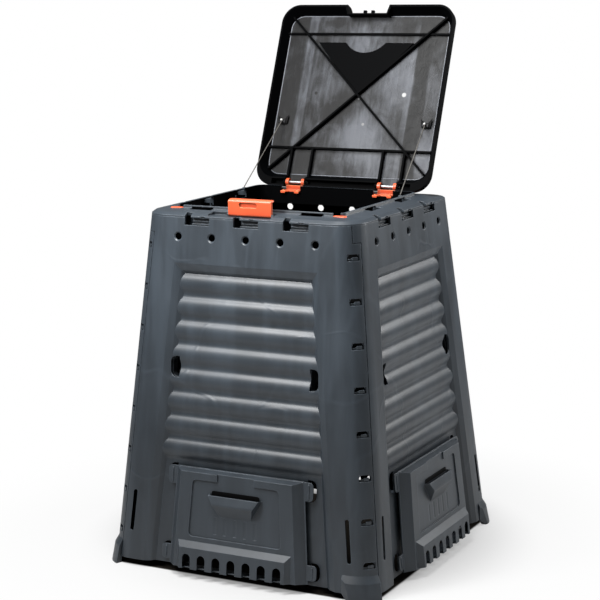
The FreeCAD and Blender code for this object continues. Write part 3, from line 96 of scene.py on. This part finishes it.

# A thin dark sheet of painted shade in the opening of a door's grip: outline across and up the wall,
# height over the wall, thickness, edge
GRIP_SHADE = ((-0.079, 0.2505), (0.079, 0.2505), (0.0765, 0.2615), (0.070, 0.2635), (-0.074, 0.2635),
         (-0.0785, 0.2605))
GRIP_SHADE_LOW, GRIP_SHADE_THICK, GRIP_SHADE_EDGE = 0.0158, 0.0008, 0.0003

# Painted sheen on the lid's inner plate, reflections painted into its colour: across, along, radius,
# amount
LID_PAINTED_SHEEN = ((0.02, -0.165, 0.14, 0.75), (0.15, -0.34, 0.15, 0.55), (0.275, -0.10, 0.12, 0.8),
             (-0.02, -0.46, 0.13, 0.45), (0.10, -0.07, 0.10, 0.4), (-0.12, -0.33, 0.10, 0.25),
             (-0.05, -0.24, 0.09, -0.45), (0.22, -0.52, 0.12, -0.3), (-0.2, -0.05, 0.14, -0.35))
# Bands of painted reflection on it: across, half width, amount
LID_PAINTED_BANDS = ((-0.196, 0.018, 0.3), (-0.245, 0.035, -0.2), (0.205, 0.03, -0.5), (0.17, 0.012, 0.2))
# Marks on it: across, along, radius, brightness
LID_MARKS = ((-0.150, -0.301, 0.007, 0.0008), (0.157, -0.301, 0.009, 0.35), (0.032, -0.202, 0.006, 0.16),
             (0.004, -0.286, 0.005, 0.10))

# Fixed colours: black painted as shade inside the bin and on the lid's dull parts, the ground in it
# painted dark as shade, the cleats' pins, the studio
SHADE_BLACK = (0.0003, 0.0004, 0.0006, 1)
GROUND_SHADE = (0.016, 0.014, 0.012, 1)
PALE_PIN = (0.6, 0.6, 0.58)
WHITE = (1, 1, 1, 1)

# Soft lamps: name, place, aim, width, power as a share of the key setting
LAMPS = (("key_lamp", (-0.80, -1.62, 2.12), (0, -0.35, 0.80), 0.6, 0.72),
         ("top_lamp", (0.0, -0.9, 2.8), (0, -0.3, 0.9), 1.2, 1.35),
         ("rim_lamp", (2.3, 2.0, 2.2), (0.4, 0.1, 0.7), 1.8, 1.7))
# The floor: its radius, and how it turns white away from its middle: from, to, first and last share
FLOOR_RADIUS = 30
FLOOR_FADES = ((0.46, 0.74, 0.3, 0.85), (0.6, 1.3, 0.0, 0.15))

# Width of the camera's sensor, in millimetres, and the least angle of a sharp edge
SENSOR = 36
SHARP = math.radians(35)


# Settings that a user would change

class BinColours(bpy.types.PropertyGroup):
    wall: bpy.props.FloatVectorProperty(
        name="Walls", description="Plastic of the panels, the doors and the top frame",
        default=(0.028, 0.0355, 0.044), size=3, min=0, max=1, subtype="COLOR")
    lid: bpy.props.FloatVectorProperty(
        name="Lid", description="Black plastic of the lid",
        default=(0.0045, 0.0048, 0.0055), size=3, min=0, max=1, subtype="COLOR")
    orange: bpy.props.FloatVectorProperty(
        name="Fittings", description="Plastic of the latch, the hinge brackets and the corner clips",
        default=(0.70, 0.098, 0.034), size=3, min=0, max=1, subtype="COLOR")
    cleat: bpy.props.FloatVectorProperty(
        name="Cleats", description="Plastic that holds the stay cords to the lid",
        default=(0.006, 0.006, 0.007), size=3, min=0, max=1, subtype="COLOR")
    steel: bpy.props.FloatVectorProperty(
        name="Pins", description="Zinc-plated steel of the hinge pins",
        default=(0.40, 0.41, 0.42), size=3, min=0, max=1, subtype="COLOR")
    cord: bpy.props.FloatVectorProperty(
        name="Cords", description="Thread of the stay cords",
        default=(0.075, 0.07, 0.062), size=3, min=0, max=1, subtype="COLOR")


class BinSurface(bpy.types.PropertyGroup):
    grain: bpy.props.FloatProperty(
        name="Grain", description="Width of one grain of the moulded plastic",
        default=0.0011, min=0.0003, max=0.01, subtype="DISTANCE", unit="LENGTH")
    grain_depth: bpy.props.FloatProperty(
        name="Grain depth", description="Depth of the grain",
        default=0.00006, min=0, max=0.001, subtype="DISTANCE", unit="LENGTH")
    edge: bpy.props.FloatProperty(
        name="Edge radius", description="Softness of the moulded edges",
        default=0.0024, min=0.0002, max=0.01, subtype="DISTANCE", unit="LENGTH")
    grain_share: bpy.props.FloatProperty(
        name="Grain share", description="Height of the grain beside the faint flow lines of the walls",
        default=0.08, min=0.01, max=1, subtype="FACTOR")
    # Sets how much lighter the edges are: rubbed plastic and a painted highlight on them
    wear_and_highlight: bpy.props.FloatProperty(
        name="Wear", description="How much lighter the edges are where they are handled",
        default=0.7, min=0, max=1, subtype="FACTOR")
    gloss: bpy.props.FloatProperty(
        name="Wall roughness", description="Roughness of the wall plastic",
        default=0.40, min=0.05, max=1, subtype="FACTOR")


class StudioSettings(bpy.types.PropertyGroup):
    floor: bpy.props.FloatVectorProperty(
        name="Floor", description="Pale floor under the bin",
        default=(0.50, 0.50, 0.50), size=3, min=0, max=1, subtype="COLOR")
    eye: bpy.props.FloatVectorProperty(
        name="Camera", description="Where the camera stands",
        default=(2.3807, -4.6066, 1.7300), size=3, subtype="TRANSLATION", unit="LENGTH")
    target: bpy.props.FloatVectorProperty(
        name="Target", description="Point in the middle of the picture",
        default=(-0.0101, -0.0210, 0.7506), size=3, subtype="TRANSLATION", unit="LENGTH")
    roll: bpy.props.FloatProperty(
        name="Roll", description="Turn of the camera about its line of sight",
        default=math.radians(-0.797), subtype="ANGLE", unit="ROTATION")
    lens: bpy.props.FloatProperty(
        name="Lens", description="Focal length on a 36 mm sensor, in millimetres",
        default=104.54, min=10, max=400)
    sky: bpy.props.FloatProperty(
        name="Surround", description="Brightness of the studio's white surround on the bin",
        default=0.16, min=0, max=5)
    key: bpy.props.FloatProperty(
        name="Lamps", description="Power that each soft lamp takes its share of, in watts",
        default=62, min=0, max=2000)


# Shader maths

class Signal:
    """A number carried by a socket; arithmetic on it adds the Math nodes."""

    def __init__(self, finish, socket):
        self.finish = finish
        self.socket = socket

    def maths(self, operation, *values):
        return self.finish.add("ShaderNodeMath", {"operation": operation}, dict(enumerate(values)))

    def __add__(self, other):
        return self.maths("ADD", self, other)

    def __sub__(self, other):
        return self.maths("SUBTRACT", self, other)

    def __mul__(self, other):
        return self.maths("MULTIPLY", self, other)

    def __abs__(self):
        return self.maths("ABSOLUTE", self)

    def clamped(self):
        return self.finish.add("ShaderNodeClamp", {}, {"Value": self})


class Finish:
    """One procedural material and the nodes that make it."""

    def __init__(self, name):
        self.material = bpy.data.materials.new(name)
        self.material.use_nodes = True
        self.tree = self.material.node_tree
        self.tree.nodes.clear()
        self.place = self.add("ShaderNodeTexCoord", output="Object")

    def add(self, kind, settings=None, values=None, output=0):
        node = self.tree.nodes.new(kind)
        for key, value in (settings or {}).items():
            setattr(node, key, value)
        for key, value in (values or {}).items():
            socket = node.inputs[key]
            if isinstance(value, Signal):
                self.tree.links.new(value.socket, socket)
            else:
                socket.default_value = value
        return Signal(self, node.outputs[output])

    def noise(self, size, detail=2.0, roughness=0.5, distortion=0.0, vector=None):
        """Noise whose features are about size metres across."""
        return self.add("ShaderNodeTexNoise", {}, {
            "Vector": vector or self.place, "Scale": 1 / size, "Detail": detail,
            "Roughness": roughness, "Distortion": distortion}, "Fac")

    def step(self, value, low, high, start=0.0, end=1.0):
        """A smooth rise from start to end as value goes from low to high."""
        return self.add("ShaderNodeMapRange", {"interpolation_type": "SMOOTHSTEP"}, {
            "Value": value, "From Min": low, "From Max": high, "To Min": start, "To Max": end})

    def apart(self, vector):
        """The three coordinates of a vector."""
        node = self.tree.nodes.new("ShaderNodeSeparateXYZ")
        self.tree.links.new(vector.socket, node.inputs[0])
        return [Signal(self, output) for output in node.outputs]

    def shade(self, share, first, second):
        """A colour between first and second."""
        return self.add("ShaderNodeMix", {"data_type": "RGBA"}, {
            "Factor": share, 6: first, 7: second}, 2)

    def joined(self, value):
        """A vector whose three coordinates are value."""
        return self.add("ShaderNodeCombineXYZ", {}, {0: value, 1: value, 2: value})

    def scaled(self, vector, scale):
        """The vector with each axis scaled."""
        return self.add("ShaderNodeVectorMath", {"operation": "MULTIPLY"}, {0: vector, 1: scale})

    def stretched(self, scale):
        """The place on the object, with each axis scaled."""
        return self.scaled(self.place, scale)

    def normalised(self, vector):
        return self.add("ShaderNodeVectorMath", {"operation": "NORMALIZE"}, {0: vector})

    def along(self, first, second):
        """The dot product of two vectors."""
        return self.add("ShaderNodeVectorMath", {"operation": "DOT_PRODUCT"}, {
            0: first, 1: second}, "Value")

    def moved(self, vector, offset, scale=(1, 1, 1)):
        """The vector scaled and then moved."""
        return self.add("ShaderNodeVectorMath", {"operation": "MULTIPLY_ADD"}, {
            0: vector, 1: scale, 2: offset})

    def distance(self, vector, spot):
        return self.add("ShaderNodeVectorMath", {"operation": "DISTANCE"}, {0: vector, 1: spot}, "Value")

    def larger(self, first, second):
        return self.add("ShaderNodeMath", {"operation": "MAXIMUM"}, {0: first, 1: second})

    def normal(self, kind="Normal"):
        return self.add("ShaderNodeNewGeometry", output=kind)

    def soft_edge(self, radius):
        """The normal with its edges rounded, and a mask of where that rounding is."""
        rounded = self.add("ShaderNodeBevel", {"samples": 4}, {"Radius": radius})
        return rounded, self.step(self.along(rounded, self.normal()), 0.992, 0.82)

    def bump(self, height, depth, normal=None, strength=1.0):
        values = {"Height": height, "Distance": depth, "Strength": strength}
        if normal:
            values["Normal"] = normal
        return self.add("ShaderNodeBump", {}, values)

    def surface(self, dull=None, **sockets):
        """Ends the material in a Principled shader with these sockets, dull and painted black as shade
        where dull is 1.
        """
        values = {key.replace("_", " "): value for key, value in sockets.items()}
        shader = self.add("ShaderNodeBsdfPrincipled", {}, values, "BSDF")
        if dull:
            black = self.add("ShaderNodeBsdfPrincipled", {}, {
                "Base Color": SHADE_BLACK, "Roughness": 0.6, "Specular IOR Level": 0.03}, "BSDF")
            shader = self.add("ShaderNodeMixShader", {}, {0: dull, 1: shader, 2: black})
        self.add_output(shader)
        return self.material

    def inward(self):
        """1 on faces turned to the middle of the bin, which are painted black as shade."""
        outward = self.normalised(self.moved(self.place, (0, -CENTRE_Y, 0), (1, 1, 0)))
        return self.step(self.along(outward, self.normal("True Normal")), -0.45, -0.65)

    def hollow(self, reach):
        """From 1 in the open down to about 0 deep in a crease, seen within reach metres."""
        return self.add("ShaderNodeAmbientOcclusion", {"samples": 6}, {"Distance": reach}, "AO")

    def add_output(self, shader):
        node = self.tree.nodes.new("ShaderNodeOutputMaterial")
        self.tree.links.new(shader.socket, node.inputs["Surface"])


def tint(colour, factor=1.0):
    """The colour made lighter or darker, with an alpha of 1."""
    return tuple(min(1.0, part * factor) for part in colour) + (1.0,)


def flow_lines(f):
    """Faint bent lines where the plastic flowed together."""
    swirl = f.joined(f.noise(0.35, 1, 0.4, 1.6))
    cells = f.add("ShaderNodeTexVoronoi", {"feature": "DISTANCE_TO_EDGE"}, {
        "Vector": f.moved(swirl, f.place, (0.2, 0.2, 0.2)), "Scale": 3.1}, "Distance")
    return f.step(cells, 0.03, 0.0) * f.step(f.noise(0.11, 1), 0.42, 0.6)


def moulded(name, colour, roughness, surface, cloud=0.12, grain_depth=None, streaks=0.0, creases=0.0,
            inside=False, specular=0.5, low_shade=0.0):
    """Injection-moulded plastic: fine grain, slow waves of sheen, edges lighter from rubbing and a
    painted highlight, painted shade in creases.

    cloud, streaks and creases say how much slow mottling, drawn streaks and flow lines it has, and the
    last argument how much painted shade darkens it near the ground; inside paints the faces turned into
    the bin black as shade."""
    f = Finish(name)
    fine = f.noise(surface.grain, 2, 0.6)
    slow = f.noise(0.16, 3, 0.5, 0.6)
    specks = f.step(f.noise(0.006, 1, 0.5), 0.68, 0.8)
    rounded, edge = f.soft_edge(surface.edge)
    worn_and_lit_edge = (edge * f.step(f.noise(0.03, 3, 0.6), 0.35, 0.65, 0.3, 1.0)) * surface.wear_and_highlight
    body = f.shade(slow, tint(colour, 1 - cloud), tint(colour, 1 + cloud))
    height = fine
    depth = grain_depth or surface.grain_depth
    if streaks:
        drawn = f.noise(0.045, 3, 0.55, 0.3, f.stretched((1, 1, 0.09)))
        body = f.shade(f.step(drawn, 0.35, 0.7) * streaks, body, tint(colour, 1.9))
    if creases:
        line = flow_lines(f)
        height = fine * surface.grain_share + line * creases
        depth /= surface.grain_share
        body = f.shade(line * 0.4, body, tint(colour, 1.7))
    body = f.shade(specks * 0.12, body, tint(colour, 1.5))
    # Painted shade: the colour darkens in creases and hollows
    body = f.shade(f.step(f.hollow(0.05), 0.3, 0.92, 0.85, 0.0), body, tint(colour, 0.2))
    # Painted shade: darker towards the ground
    if low_shade:
        body = f.shade(f.step(f.apart(f.place)[2], 0.85, 0.15) * low_shade, body, tint(colour, 0.2))
    # Lighter edges: rubbed plastic and a painted highlight
    body = f.shade(worn_and_lit_edge, body, tint(colour, 4.6))
    sheen = slow * 0.14 + (fine * 0.06 + (roughness - 0.10))
    return f.surface(dull=f.inward() if inside else None, Base_Color=body, Roughness=sheen + worn_and_lit_edge * 0.15,
                     Specular_IOR_Level=specular, Normal=f.bump(height, depth, rounded))


def lid_painted_reflection(f, flat, across, drawn, rings, cloud):
    """How much painted reflection lightens the lid's inner plate, by its spots and bands and by noise."""
    painted_glow = (cloud - 0.5) * 0.9 + (drawn - 0.5) * 0.7 + (rings - 0.5) * 0.10 + 0.20
    for spot_x, spot_y, radius, amount in LID_PAINTED_SHEEN:
        painted_glow = painted_glow + f.step(f.distance(flat, (spot_x, spot_y, 0)), radius, 0.0, 0.0, amount)
    for centre, half, amount in LID_PAINTED_BANDS:
        painted_glow = painted_glow + f.step(abs(across - centre), half, half * 0.6, 0.0, amount)
    return f.step(painted_glow, 0.0, 1.0)


def lid_plastic(name, colour, surface):
    """Black lid: streaked sheen and painted reflections on its inner plate, ribs, pad and skirt dull and
    blacker as painted shade, a painted highlight on its edges.
    """
    f = Finish(name)
    local = f.add("ShaderNodeMapping", {"vector_type": "POINT"}, {
        "Vector": f.moved(f.place, (0, -HINGE[0], -HINGE[1])), "Rotation": (LID_OPEN, 0, 0)})
    across, _, up = f.apart(local)
    upright = f.add("ShaderNodeMapping", {"vector_type": "VECTOR"}, {
        "Vector": f.normal("True Normal"), "Rotation": (LID_OPEN, 0, 0)})
    level = abs(f.apart(upright)[2])
    # The ribs, the pad and the skirt go dull and blacker than the lid's plastic: painted shade
    ribs = f.step(up, LID_INNER - 0.0035, LID_INNER - 0.0015, 1.0, 0.0)
    raised = ribs * f.step(up, LID_OUTER - 0.001, LID_OUTER - 0.0005, 1.0, 0.0)
    dull = f.larger(f.step(level, 0.99, 0.97), raised)
    flat = f.scaled(local, (1, 1, 0))
    drawn = f.noise(0.012, 4, 0.6, 0.4, f.scaled(local, (0.8, 0.12, 1)))
    whorl = f.noise(0.06, 2, 0.5, 2.5, local) * 24.0
    rings = f.step(whorl.maths("PINGPONG", whorl, 0.5), 0.0, 0.5)
    cloud = f.noise(0.05, 3, 0.55, 0.8, f.scaled(local, (1, 0.7, 1)))
    rounded, edge = f.soft_edge(surface.edge)
    under = f.step(up, LID_MIDDLE + 0.0005, LID_MIDDLE - 0.0005)
    painted_sheen = lid_painted_reflection(f, flat, across, drawn, rings, cloud) * (under * 0.88 + 0.12)
    # Painted reflection: the plate is lightened where the painted sheen lies, a little on the outer face
    # too
    body = f.shade(painted_sheen, tint(colour, 0.25), tint(colour, 17))
    for spot_x, spot_y, radius, shade in LID_MARKS:
        mark = f.step(f.distance(flat, (spot_x, spot_y, 0)), radius, radius * 0.55)
        body = f.shade(mark * under, body, (shade, shade, shade, 1))
    # Painted highlight along the lid's edges
    body = f.shade(edge * 0.25, body, tint(colour, 5))
    sheen = painted_sheen * -0.14 + (drawn * 0.14 + 0.42)
    height = drawn * 0.7 + rings * 0.1 + cloud * 0.3
    return f.surface(dull=dull, Base_Color=body, Roughness=sheen, Specular_IOR_Level=0.22,
                     Normal=f.bump(height, 0.0016, rounded, 0.55))


def zinc(name, colour):
    """Zinc-plated steel drawn along X, with fine lines round the pin."""
    f = Finish(name)
    lines = f.noise(0.002, 3, 0.6, 0.0, f.stretched((0.15, 1, 1)))
    spangle = f.add("ShaderNodeTexVoronoi", {}, {"Vector": f.place, "Scale": 350.0}, "Distance")
    body = f.shade(spangle.clamped(), tint(colour, 0.86), tint(colour, 1.08))
    return f.surface(Base_Color=body, Metallic=1.0, Roughness=lines * 0.2 + 0.3,
                     Normal=f.bump(lines, 0.00003))


def thread(name, colour):
    """Laid cord: strands wind round it, a little paler on their crowns."""
    f = Finish(name)
    strands = f.add("ShaderNodeTexWave", {"wave_type": "BANDS", "bands_direction": "DIAGONAL"}, {
        "Vector": f.place, "Scale": 130.0, "Distortion": 1.2, "Detail": 1.0}, "Fac")
    body = f.shade(strands, tint(colour, 0.55), tint(colour, 1.7))
    return f.surface(Base_Color=body, Roughness=strands * -0.2 + 0.85,
                     Normal=f.bump(strands, 0.0003))


def give(names, material):
    """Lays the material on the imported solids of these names."""
    for name in names:
        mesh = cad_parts[name].data
        mesh.materials.clear()
        mesh.materials.append(material)


def link(name, data):
    """A new object with this data in the scene."""
    piece = bpy.data.objects.new(name, data)
    bpy.context.scene.collection.objects.link(piece)
    return piece


def solid(name, bm, body, material, place=None):
    """A piece made of this bmesh, smooth but for its sharp edges, riding on a body."""
    if place:
        bm.transform(place)
    bmesh.ops.recalc_face_normals(bm, faces=bm.faces)
    mesh = bpy.data.meshes.new(name)
    bm.to_mesh(mesh)
    bm.free()
    mesh.shade_smooth()
    mesh.set_sharp_from_angle(angle=SHARP)
    mesh.materials.append(material)
    piece = link(name, mesh)
    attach(piece, body)
    return piece


def softened(bm, radius, segments):
    """Rounds every edge of the bmesh."""
    bmesh.ops.bevel(bm, geom=list(bm.edges), offset=radius, offset_type="OFFSET", affect="EDGES",
                    segments=segments, profile=0.5, material=-1, clamp_overlap=True)


def plate(outline, thick, low):
    """A flat plate of this outline, from the height low up by thick."""
    bm = bmesh.new()
    face = bm.faces.new([bm.verts.new((x, y, low)) for x, y in outline])
    raised = bmesh.ops.extrude_face_region(bm, geom=[face])["geom"]
    bmesh.ops.translate(bm, verts=[item for item in raised if isinstance(item, bmesh.types.BMVert)],
                        vec=(0, 0, thick))
    return bm


def turned(profile, segments=24):
    """A solid of revolution about Z from its half profile, radius and height."""
    bm = bmesh.new()
    spots = [bm.verts.new((radius, 0, height)) for radius, height in profile]
    edges = [bm.edges.new(pair) for pair in zip(spots, spots[1:])]
    bmesh.ops.spin(bm, geom=spots + edges, cent=(0, 0, 0), axis=(0, 0, 1), angle=2 * math.pi,
                   steps=segments, use_merge=True)
    bmesh.ops.remove_doubles(bm, verts=bm.verts, dist=1e-6)
    return bm


def rounded_loop(half, front, rear, radius, height, steps=8):
    """Points round a rectangle with round corners."""
    spots = []
    for corner, (x, y) in enumerate(((half, rear), (-half, rear), (-half, front), (half, front))):
        inset = radius if y == front else -radius
        centre = Vector((x - math.copysign(radius, x), y + inset, height))
        for step in range(steps + 1):
            angle = math.radians(90) * (corner + step / steps)
            spots.append(centre + radius * Vector((math.cos(angle), math.sin(angle), 0)))
    return spots


# One operator for each group of pieces

class AddCamera(bpy.types.Operator):
    """Adds the camera where the photograph was taken from"""
    bl_idname = "compost_bin.camera"
    bl_label = "Camera"

    def execute(self, context):
        scene, studio = context.scene, context.scene.studio
        camera = bpy.data.cameras.new("photo_camera")
        camera.sensor_width = SENSOR
        camera.lens = studio.lens
        piece = link("photo_camera", camera)
        eye, target = Vector(studio.eye), Vector(studio.target)
        look = (target - eye).to_track_quat("-Z", "Y")
        piece.matrix_world = Matrix.Translation(eye) @ look.to_matrix().to_4x4() @ Matrix.Rotation(
            studio.roll, 4, "Z")
        scene.camera = piece
        scene.view_settings.view_transform = "Standard"
        return {"FINISHED"}


class AddStayCords(bpy.types.Operator):
    """Replaces the two straight tubes between the lid and the frame with laid cord"""
    bl_idname = "compost_bin.stay_cords"
    bl_label = "Stay cords"

    def execute(self, context):
        material = thread("cord_thread", context.scene.bin_colours.cord)
        for hand, sign in zip(HANDS, (-1, 1)):
            upper, lower = (Vector((sign * x, y, z)) for x, y, z in (CORD_ON_LID, CORD_ON_FRAME))
            mesh, path = self.tube(f"cord_{hand}_line", upper, lower)
            mesh.materials.append(material)
            cord = link(f"cord_{hand}", mesh)
            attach(cord, "bin")
            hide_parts(f"stay_cord_{hand}")
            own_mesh(cord)
        return {"FINISHED"}

    def tube(self, name, upper, lower):
        """The mesh of a taut cord and the points of its middle line."""
        run = (lower - upper).normalized() * CORD_RUN
        curve = bpy.data.curves.new(name, "CURVE")
        curve.dimensions = "3D"
        spline = curve.splines.new("NURBS")
        spline.points.add(3)
        for point, spot in zip(spline.points, (upper, upper + run, lower - run, lower)):
            point.co = (*spot, 1)
        spline.order_u = 3
        spline.use_endpoint_u = True
        line = bpy.data.objects.new(name, curve)
        path = [vertex.co.copy() for vertex in bpy.data.meshes.new_from_object(line).vertices]
        curve.bevel_depth = CORD / 2
        curve.bevel_resolution = 4
        curve.use_fill_caps = True
        mesh = bpy.data.meshes.new_from_object(line)
        bpy.data.objects.remove(line)
        mesh.shade_smooth()
        mesh.materials.clear()
        return mesh, path


class FinishWalls(bpy.types.Operator):
    """Gives the panels, the doors and the top frame their grey moulded plastic"""
    bl_idname = "compost_bin.finish_walls"
    bl_label = "Wall plastic"

    def execute(self, context):
        colours, surface = context.scene.bin_colours, context.scene.bin_surface
        wall = moulded("wall_plastic", colours.wall, surface.gloss, surface, 0.34, streaks=0.55,
                       creases=0.45, inside=True, low_shade=0.42)
        give([f"panel_{side}" for side in SIDES], wall)
        door = moulded("door_plastic", colours.wall, surface.gloss + 0.03, surface, 0.28, streaks=0.3,
                       inside=True, low_shade=0.22)
        give([f"door_{side}" for side in SIDES], door)
        give(["top_frame"], moulded("frame_plastic", colours.wall, surface.gloss - 0.03, surface, 0.16,
                                    streaks=0.1, inside=True))
        return {"FINISHED"}


class FinishLid(bpy.types.Operator):
    """Gives the lid its black plastic, glossy inside, with reflections painted on its inner plate"""
    bl_idname = "compost_bin.finish_lid"
    bl_label = "Lid plastic"

    def execute(self, context):
        colours, surface = context.scene.bin_colours, context.scene.bin_surface
        give(["lid"], lid_plastic("lid_plastic", colours.lid, surface))
        return {"FINISHED"}


class AddLidDetails(bpy.types.Operator):
    """Adds the moulded bead round the lid's inner plate, pale as a painted highlight, and the wings and
    pins of the cord cleats
    """
    bl_idname = "compost_bin.lid_details"
    bl_label = "Lid details"

    def execute(self, context):
        colours, surface = context.scene.bin_colours, context.scene.bin_surface
        # The bead is far paler than the lid: a painted highlight along the plate's edge
        self.bead(moulded("bead_painted_highlight", tint(colours.lid, 26)[:3], 0.3, surface, 0.2))
        black = moulded("wing_plastic", tint(colours.cleat, 0.2)[:3], 0.6, surface, 0.1, specular=0.1)
        pale = moulded("pin_plastic", PALE_PIN, 0.3, surface, 0.1)
        across, forward = CLEAT
        for hand, sign in zip(HANDS, (-1, 1)):
            spot = OPEN_LID @ Matrix.Translation((sign * across, forward, 0))
            wings = plate(WINGS, WINGS_THICK, WINGS_LOW)
            softened(wings, WINGS_EDGE, 2)
            solid(f"cleat_wings_{hand}", wings, "lid", black, spot)
            solid(f"cleat_pin_{hand}", turned(CLEAT_PIN), "lid", pale, spot)
        return {"FINISHED"}

    def bead(self, material):
        """A round bead along the edge of the inner plate."""
        curve = bpy.data.curves.new("lid_bead", "CURVE")
        curve.dimensions = "3D"
        curve.bevel_depth = BEAD
        curve.bevel_resolution = 3
        spline = curve.splines.new("POLY")
        spots = rounded_loop(BEAD_HALF, BEAD_FRONT, BEAD_REAR, BEAD_CORNER, LID_INNER)
        spline.points.add(len(spots) - 1)
        for point, spot in zip(spline.points, spots):
            point.co = (*(OPEN_LID @ spot), 1)
        spline.use_cyclic_u = True
        curve.materials.append(material)
        bead = link("lid_bead", curve)
        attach(bead, "lid")


class AddGripShadeSheets(bpy.types.Operator):
    """Adds a thin dark sheet of painted shade in the opening of the grip over each door's handle"""
    bl_idname = "compost_bin.grip_mouths"
    bl_label = "Grip mouths"

    def execute(self, context):
        colours, surface = context.scene.bin_colours, context.scene.bin_surface
        # Painted shade: a dull black sheet where the grip's opening lies in shade
        dark = moulded("grip_shade_paint", tint(colours.cleat, 0.2)[:3], 0.7, surface, 0.1, specular=0.08)
        wall = Matrix.Translation((0, -BASE_HALF, 0)) @ Matrix.Rotation(math.pi / 2 - LEAN, 4, "X")
        for turn, side in enumerate(SIDES):
            spin = Matrix.Translation((0, CENTRE_Y, 0)) @ Matrix.Rotation(turn * math.pi / 2, 4, "Z")
            shade_sheet = plate(GRIP_SHADE, GRIP_SHADE_THICK, GRIP_SHADE_LOW)
            softened(shade_sheet, GRIP_SHADE_EDGE, 1)
            solid(f"grip_shade_sheet_{side}", shade_sheet, f"door_{side}", dark, spin @ wall)
        return {"FINISHED"}


class FinishFittings(bpy.types.Operator):
    """Gives the latch, the hinge brackets, the clips, the cleats and the pins their finish"""
    bl_idname = "compost_bin.finish_fittings"
    bl_label = "Fittings"

    def execute(self, context):
        colours, surface = context.scene.bin_colours, context.scene.bin_surface
        orange = moulded("orange_plastic", colours.orange, 0.34, surface, 0.06, surface.grain_depth * 0.5)
        clips = [f"corner_clip_{end}_{hand}" for end in ("front", "rear") for hand in HANDS]
        give(["latch"] + [f"hinge_bracket_{hand}" for hand in HANDS] + clips, orange)
        give([f"cord_cleat_{hand}" for hand in HANDS],
             moulded("cleat_plastic", colours.cleat, 0.5, surface, 0.08, specular=0.2))
        give(["latch_pin"] + [f"hinge_pin_{hand}" for hand in HANDS], zinc("pin_steel", colours.steel))
        return {"FINISHED"}


class AddStage(bpy.types.Operator):
    """Adds the pale floor, the soft lamps and the white surround"""
    bl_idname = "compost_bin.stage"
    bl_label = "Studio"

    def execute(self, context):
        studio = context.scene.studio
        self.floor(studio)
        self.surround(studio)
        self.lamps(studio)
        return {"FINISHED"}

    def floor(self, studio):
        """Pale paper that turns to plain white where the camera looks past the bin's shadow, and is
        painted dark as shade under the bin.
        """
        mesh = bpy.data.meshes.new("floor")
        bm = bmesh.new()
        bmesh.ops.create_circle(bm, cap_ends=True, segments=96, radius=FLOOR_RADIUS)
        bm.to_mesh(mesh)
        bm.free()
        floor = link("floor", mesh)
        f = Finish("floor_paper")
        distance = f.add("ShaderNodeVectorMath", {"operation": "LENGTH"}, {0: f.place}, "Value")
        seen = f.add("ShaderNodeLightPath", output="Is Camera Ray")
        near, far = (f.step(distance, *fade) for fade in FLOOR_FADES)
        across, along, _ = f.apart(f.place)
        reach = f.larger(abs(across), abs(along - CENTRE_Y))
        # Painted shade: the ground under the bin is dark
        outside = f.step(reach, SHADED_GROUND_HALF - 0.005, SHADED_GROUND_HALF + 0.005)
        colour = f.shade(outside, GROUND_SHADE, tint(studio.floor))
        paper = f.add("ShaderNodeBsdfDiffuse", {}, {"Color": colour})
        glow = f.add("ShaderNodeEmission", {}, {"Color": WHITE, "Strength": 1.0})
        white = (near + far) * seen * outside
        f.add_output(f.add("ShaderNodeMixShader", {}, {0: white, 1: paper, 2: glow}))
        mesh.materials.append(f.material)

    def surround(self, studio):
        """White behind the bin, and a dimmer white that lights it."""
        world = bpy.data.worlds.new("studio_white")
        bpy.context.scene.world = world
        world.use_nodes = True
        tree = world.node_tree
        tree.nodes.clear()
        path, lit, seen, mixed, output = (tree.nodes.new(f"ShaderNode{kind}") for kind in (
            "LightPath", "Background", "Background", "MixShader", "OutputWorld"))
        for background, strength in ((lit, studio.sky), (seen, 1.0)):
            background.inputs["Color"].default_value = WHITE
            background.inputs["Strength"].default_value = strength
        tree.links.new(path.outputs["Is Camera Ray"], mixed.inputs[0])
        tree.links.new(lit.outputs[0], mixed.inputs[1])
        tree.links.new(seen.outputs[0], mixed.inputs[2])
        tree.links.new(mixed.outputs[0], output.inputs[0])

    def lamps(self, studio):
        """Three soft round lamps: front left, overhead and behind on the right."""
        for name, place, aim, size, share in LAMPS:
            lamp = bpy.data.lights.new(name, "AREA")
            lamp.shape = "DISK"
            lamp.size = size
            lamp.energy = studio.key * share
            piece = link(name, lamp)
            piece.location = place
            piece.rotation_euler = (Vector(aim) - Vector(place)).to_track_quat("-Z", "Y").to_euler()


class BinPanel(bpy.types.Panel):
    """The settings, and a button for each group of pieces"""
    bl_idname = "VIEW3D_PT_compost_bin"
    bl_label = "Compost bin"
    bl_space_type = "VIEW_3D"
    bl_region_type = "UI"
    bl_category = "Compost bin"

    def draw(self, context):
        for group in (context.scene.bin_colours, context.scene.bin_surface, context.scene.studio):
            box = self.layout.box()
            for name in group.__annotations__:
                box.prop(group, name)
        for operator in STEPS:
            self.layout.operator(operator.bl_idname)


STEPS = (AddCamera, AddStayCords, FinishWalls, FinishLid, FinishFittings, AddLidDetails, AddGripShadeSheets,
         AddStage)
GROUPS = {"bin_colours": BinColours, "bin_surface": BinSurface, "studio": StudioSettings}


def register():
    for group in GROUPS.values():
        bpy.utils.register_class(group)
    for name, group in GROUPS.items():
        setattr(bpy.types.Scene, name, bpy.props.PointerProperty(type=group))
    for operator in STEPS:
        bpy.utils.register_class(operator)
    bpy.utils.register_class(BinPanel)


def unregister():
    bpy.utils.unregister_class(BinPanel)
    for operator in reversed(STEPS):
        bpy.utils.unregister_class(operator)
    for name, group in GROUPS.items():
        delattr(bpy.types.Scene, name)
        bpy.utils.unregister_class(group)


def main():
    """Adds every group of pieces in turn."""
    register()
    for operator in STEPS:
        family, name = operator.bl_idname.split(".")
        getattr(getattr(bpy.ops, family), name)()


if __name__ == "__main__":
    main()
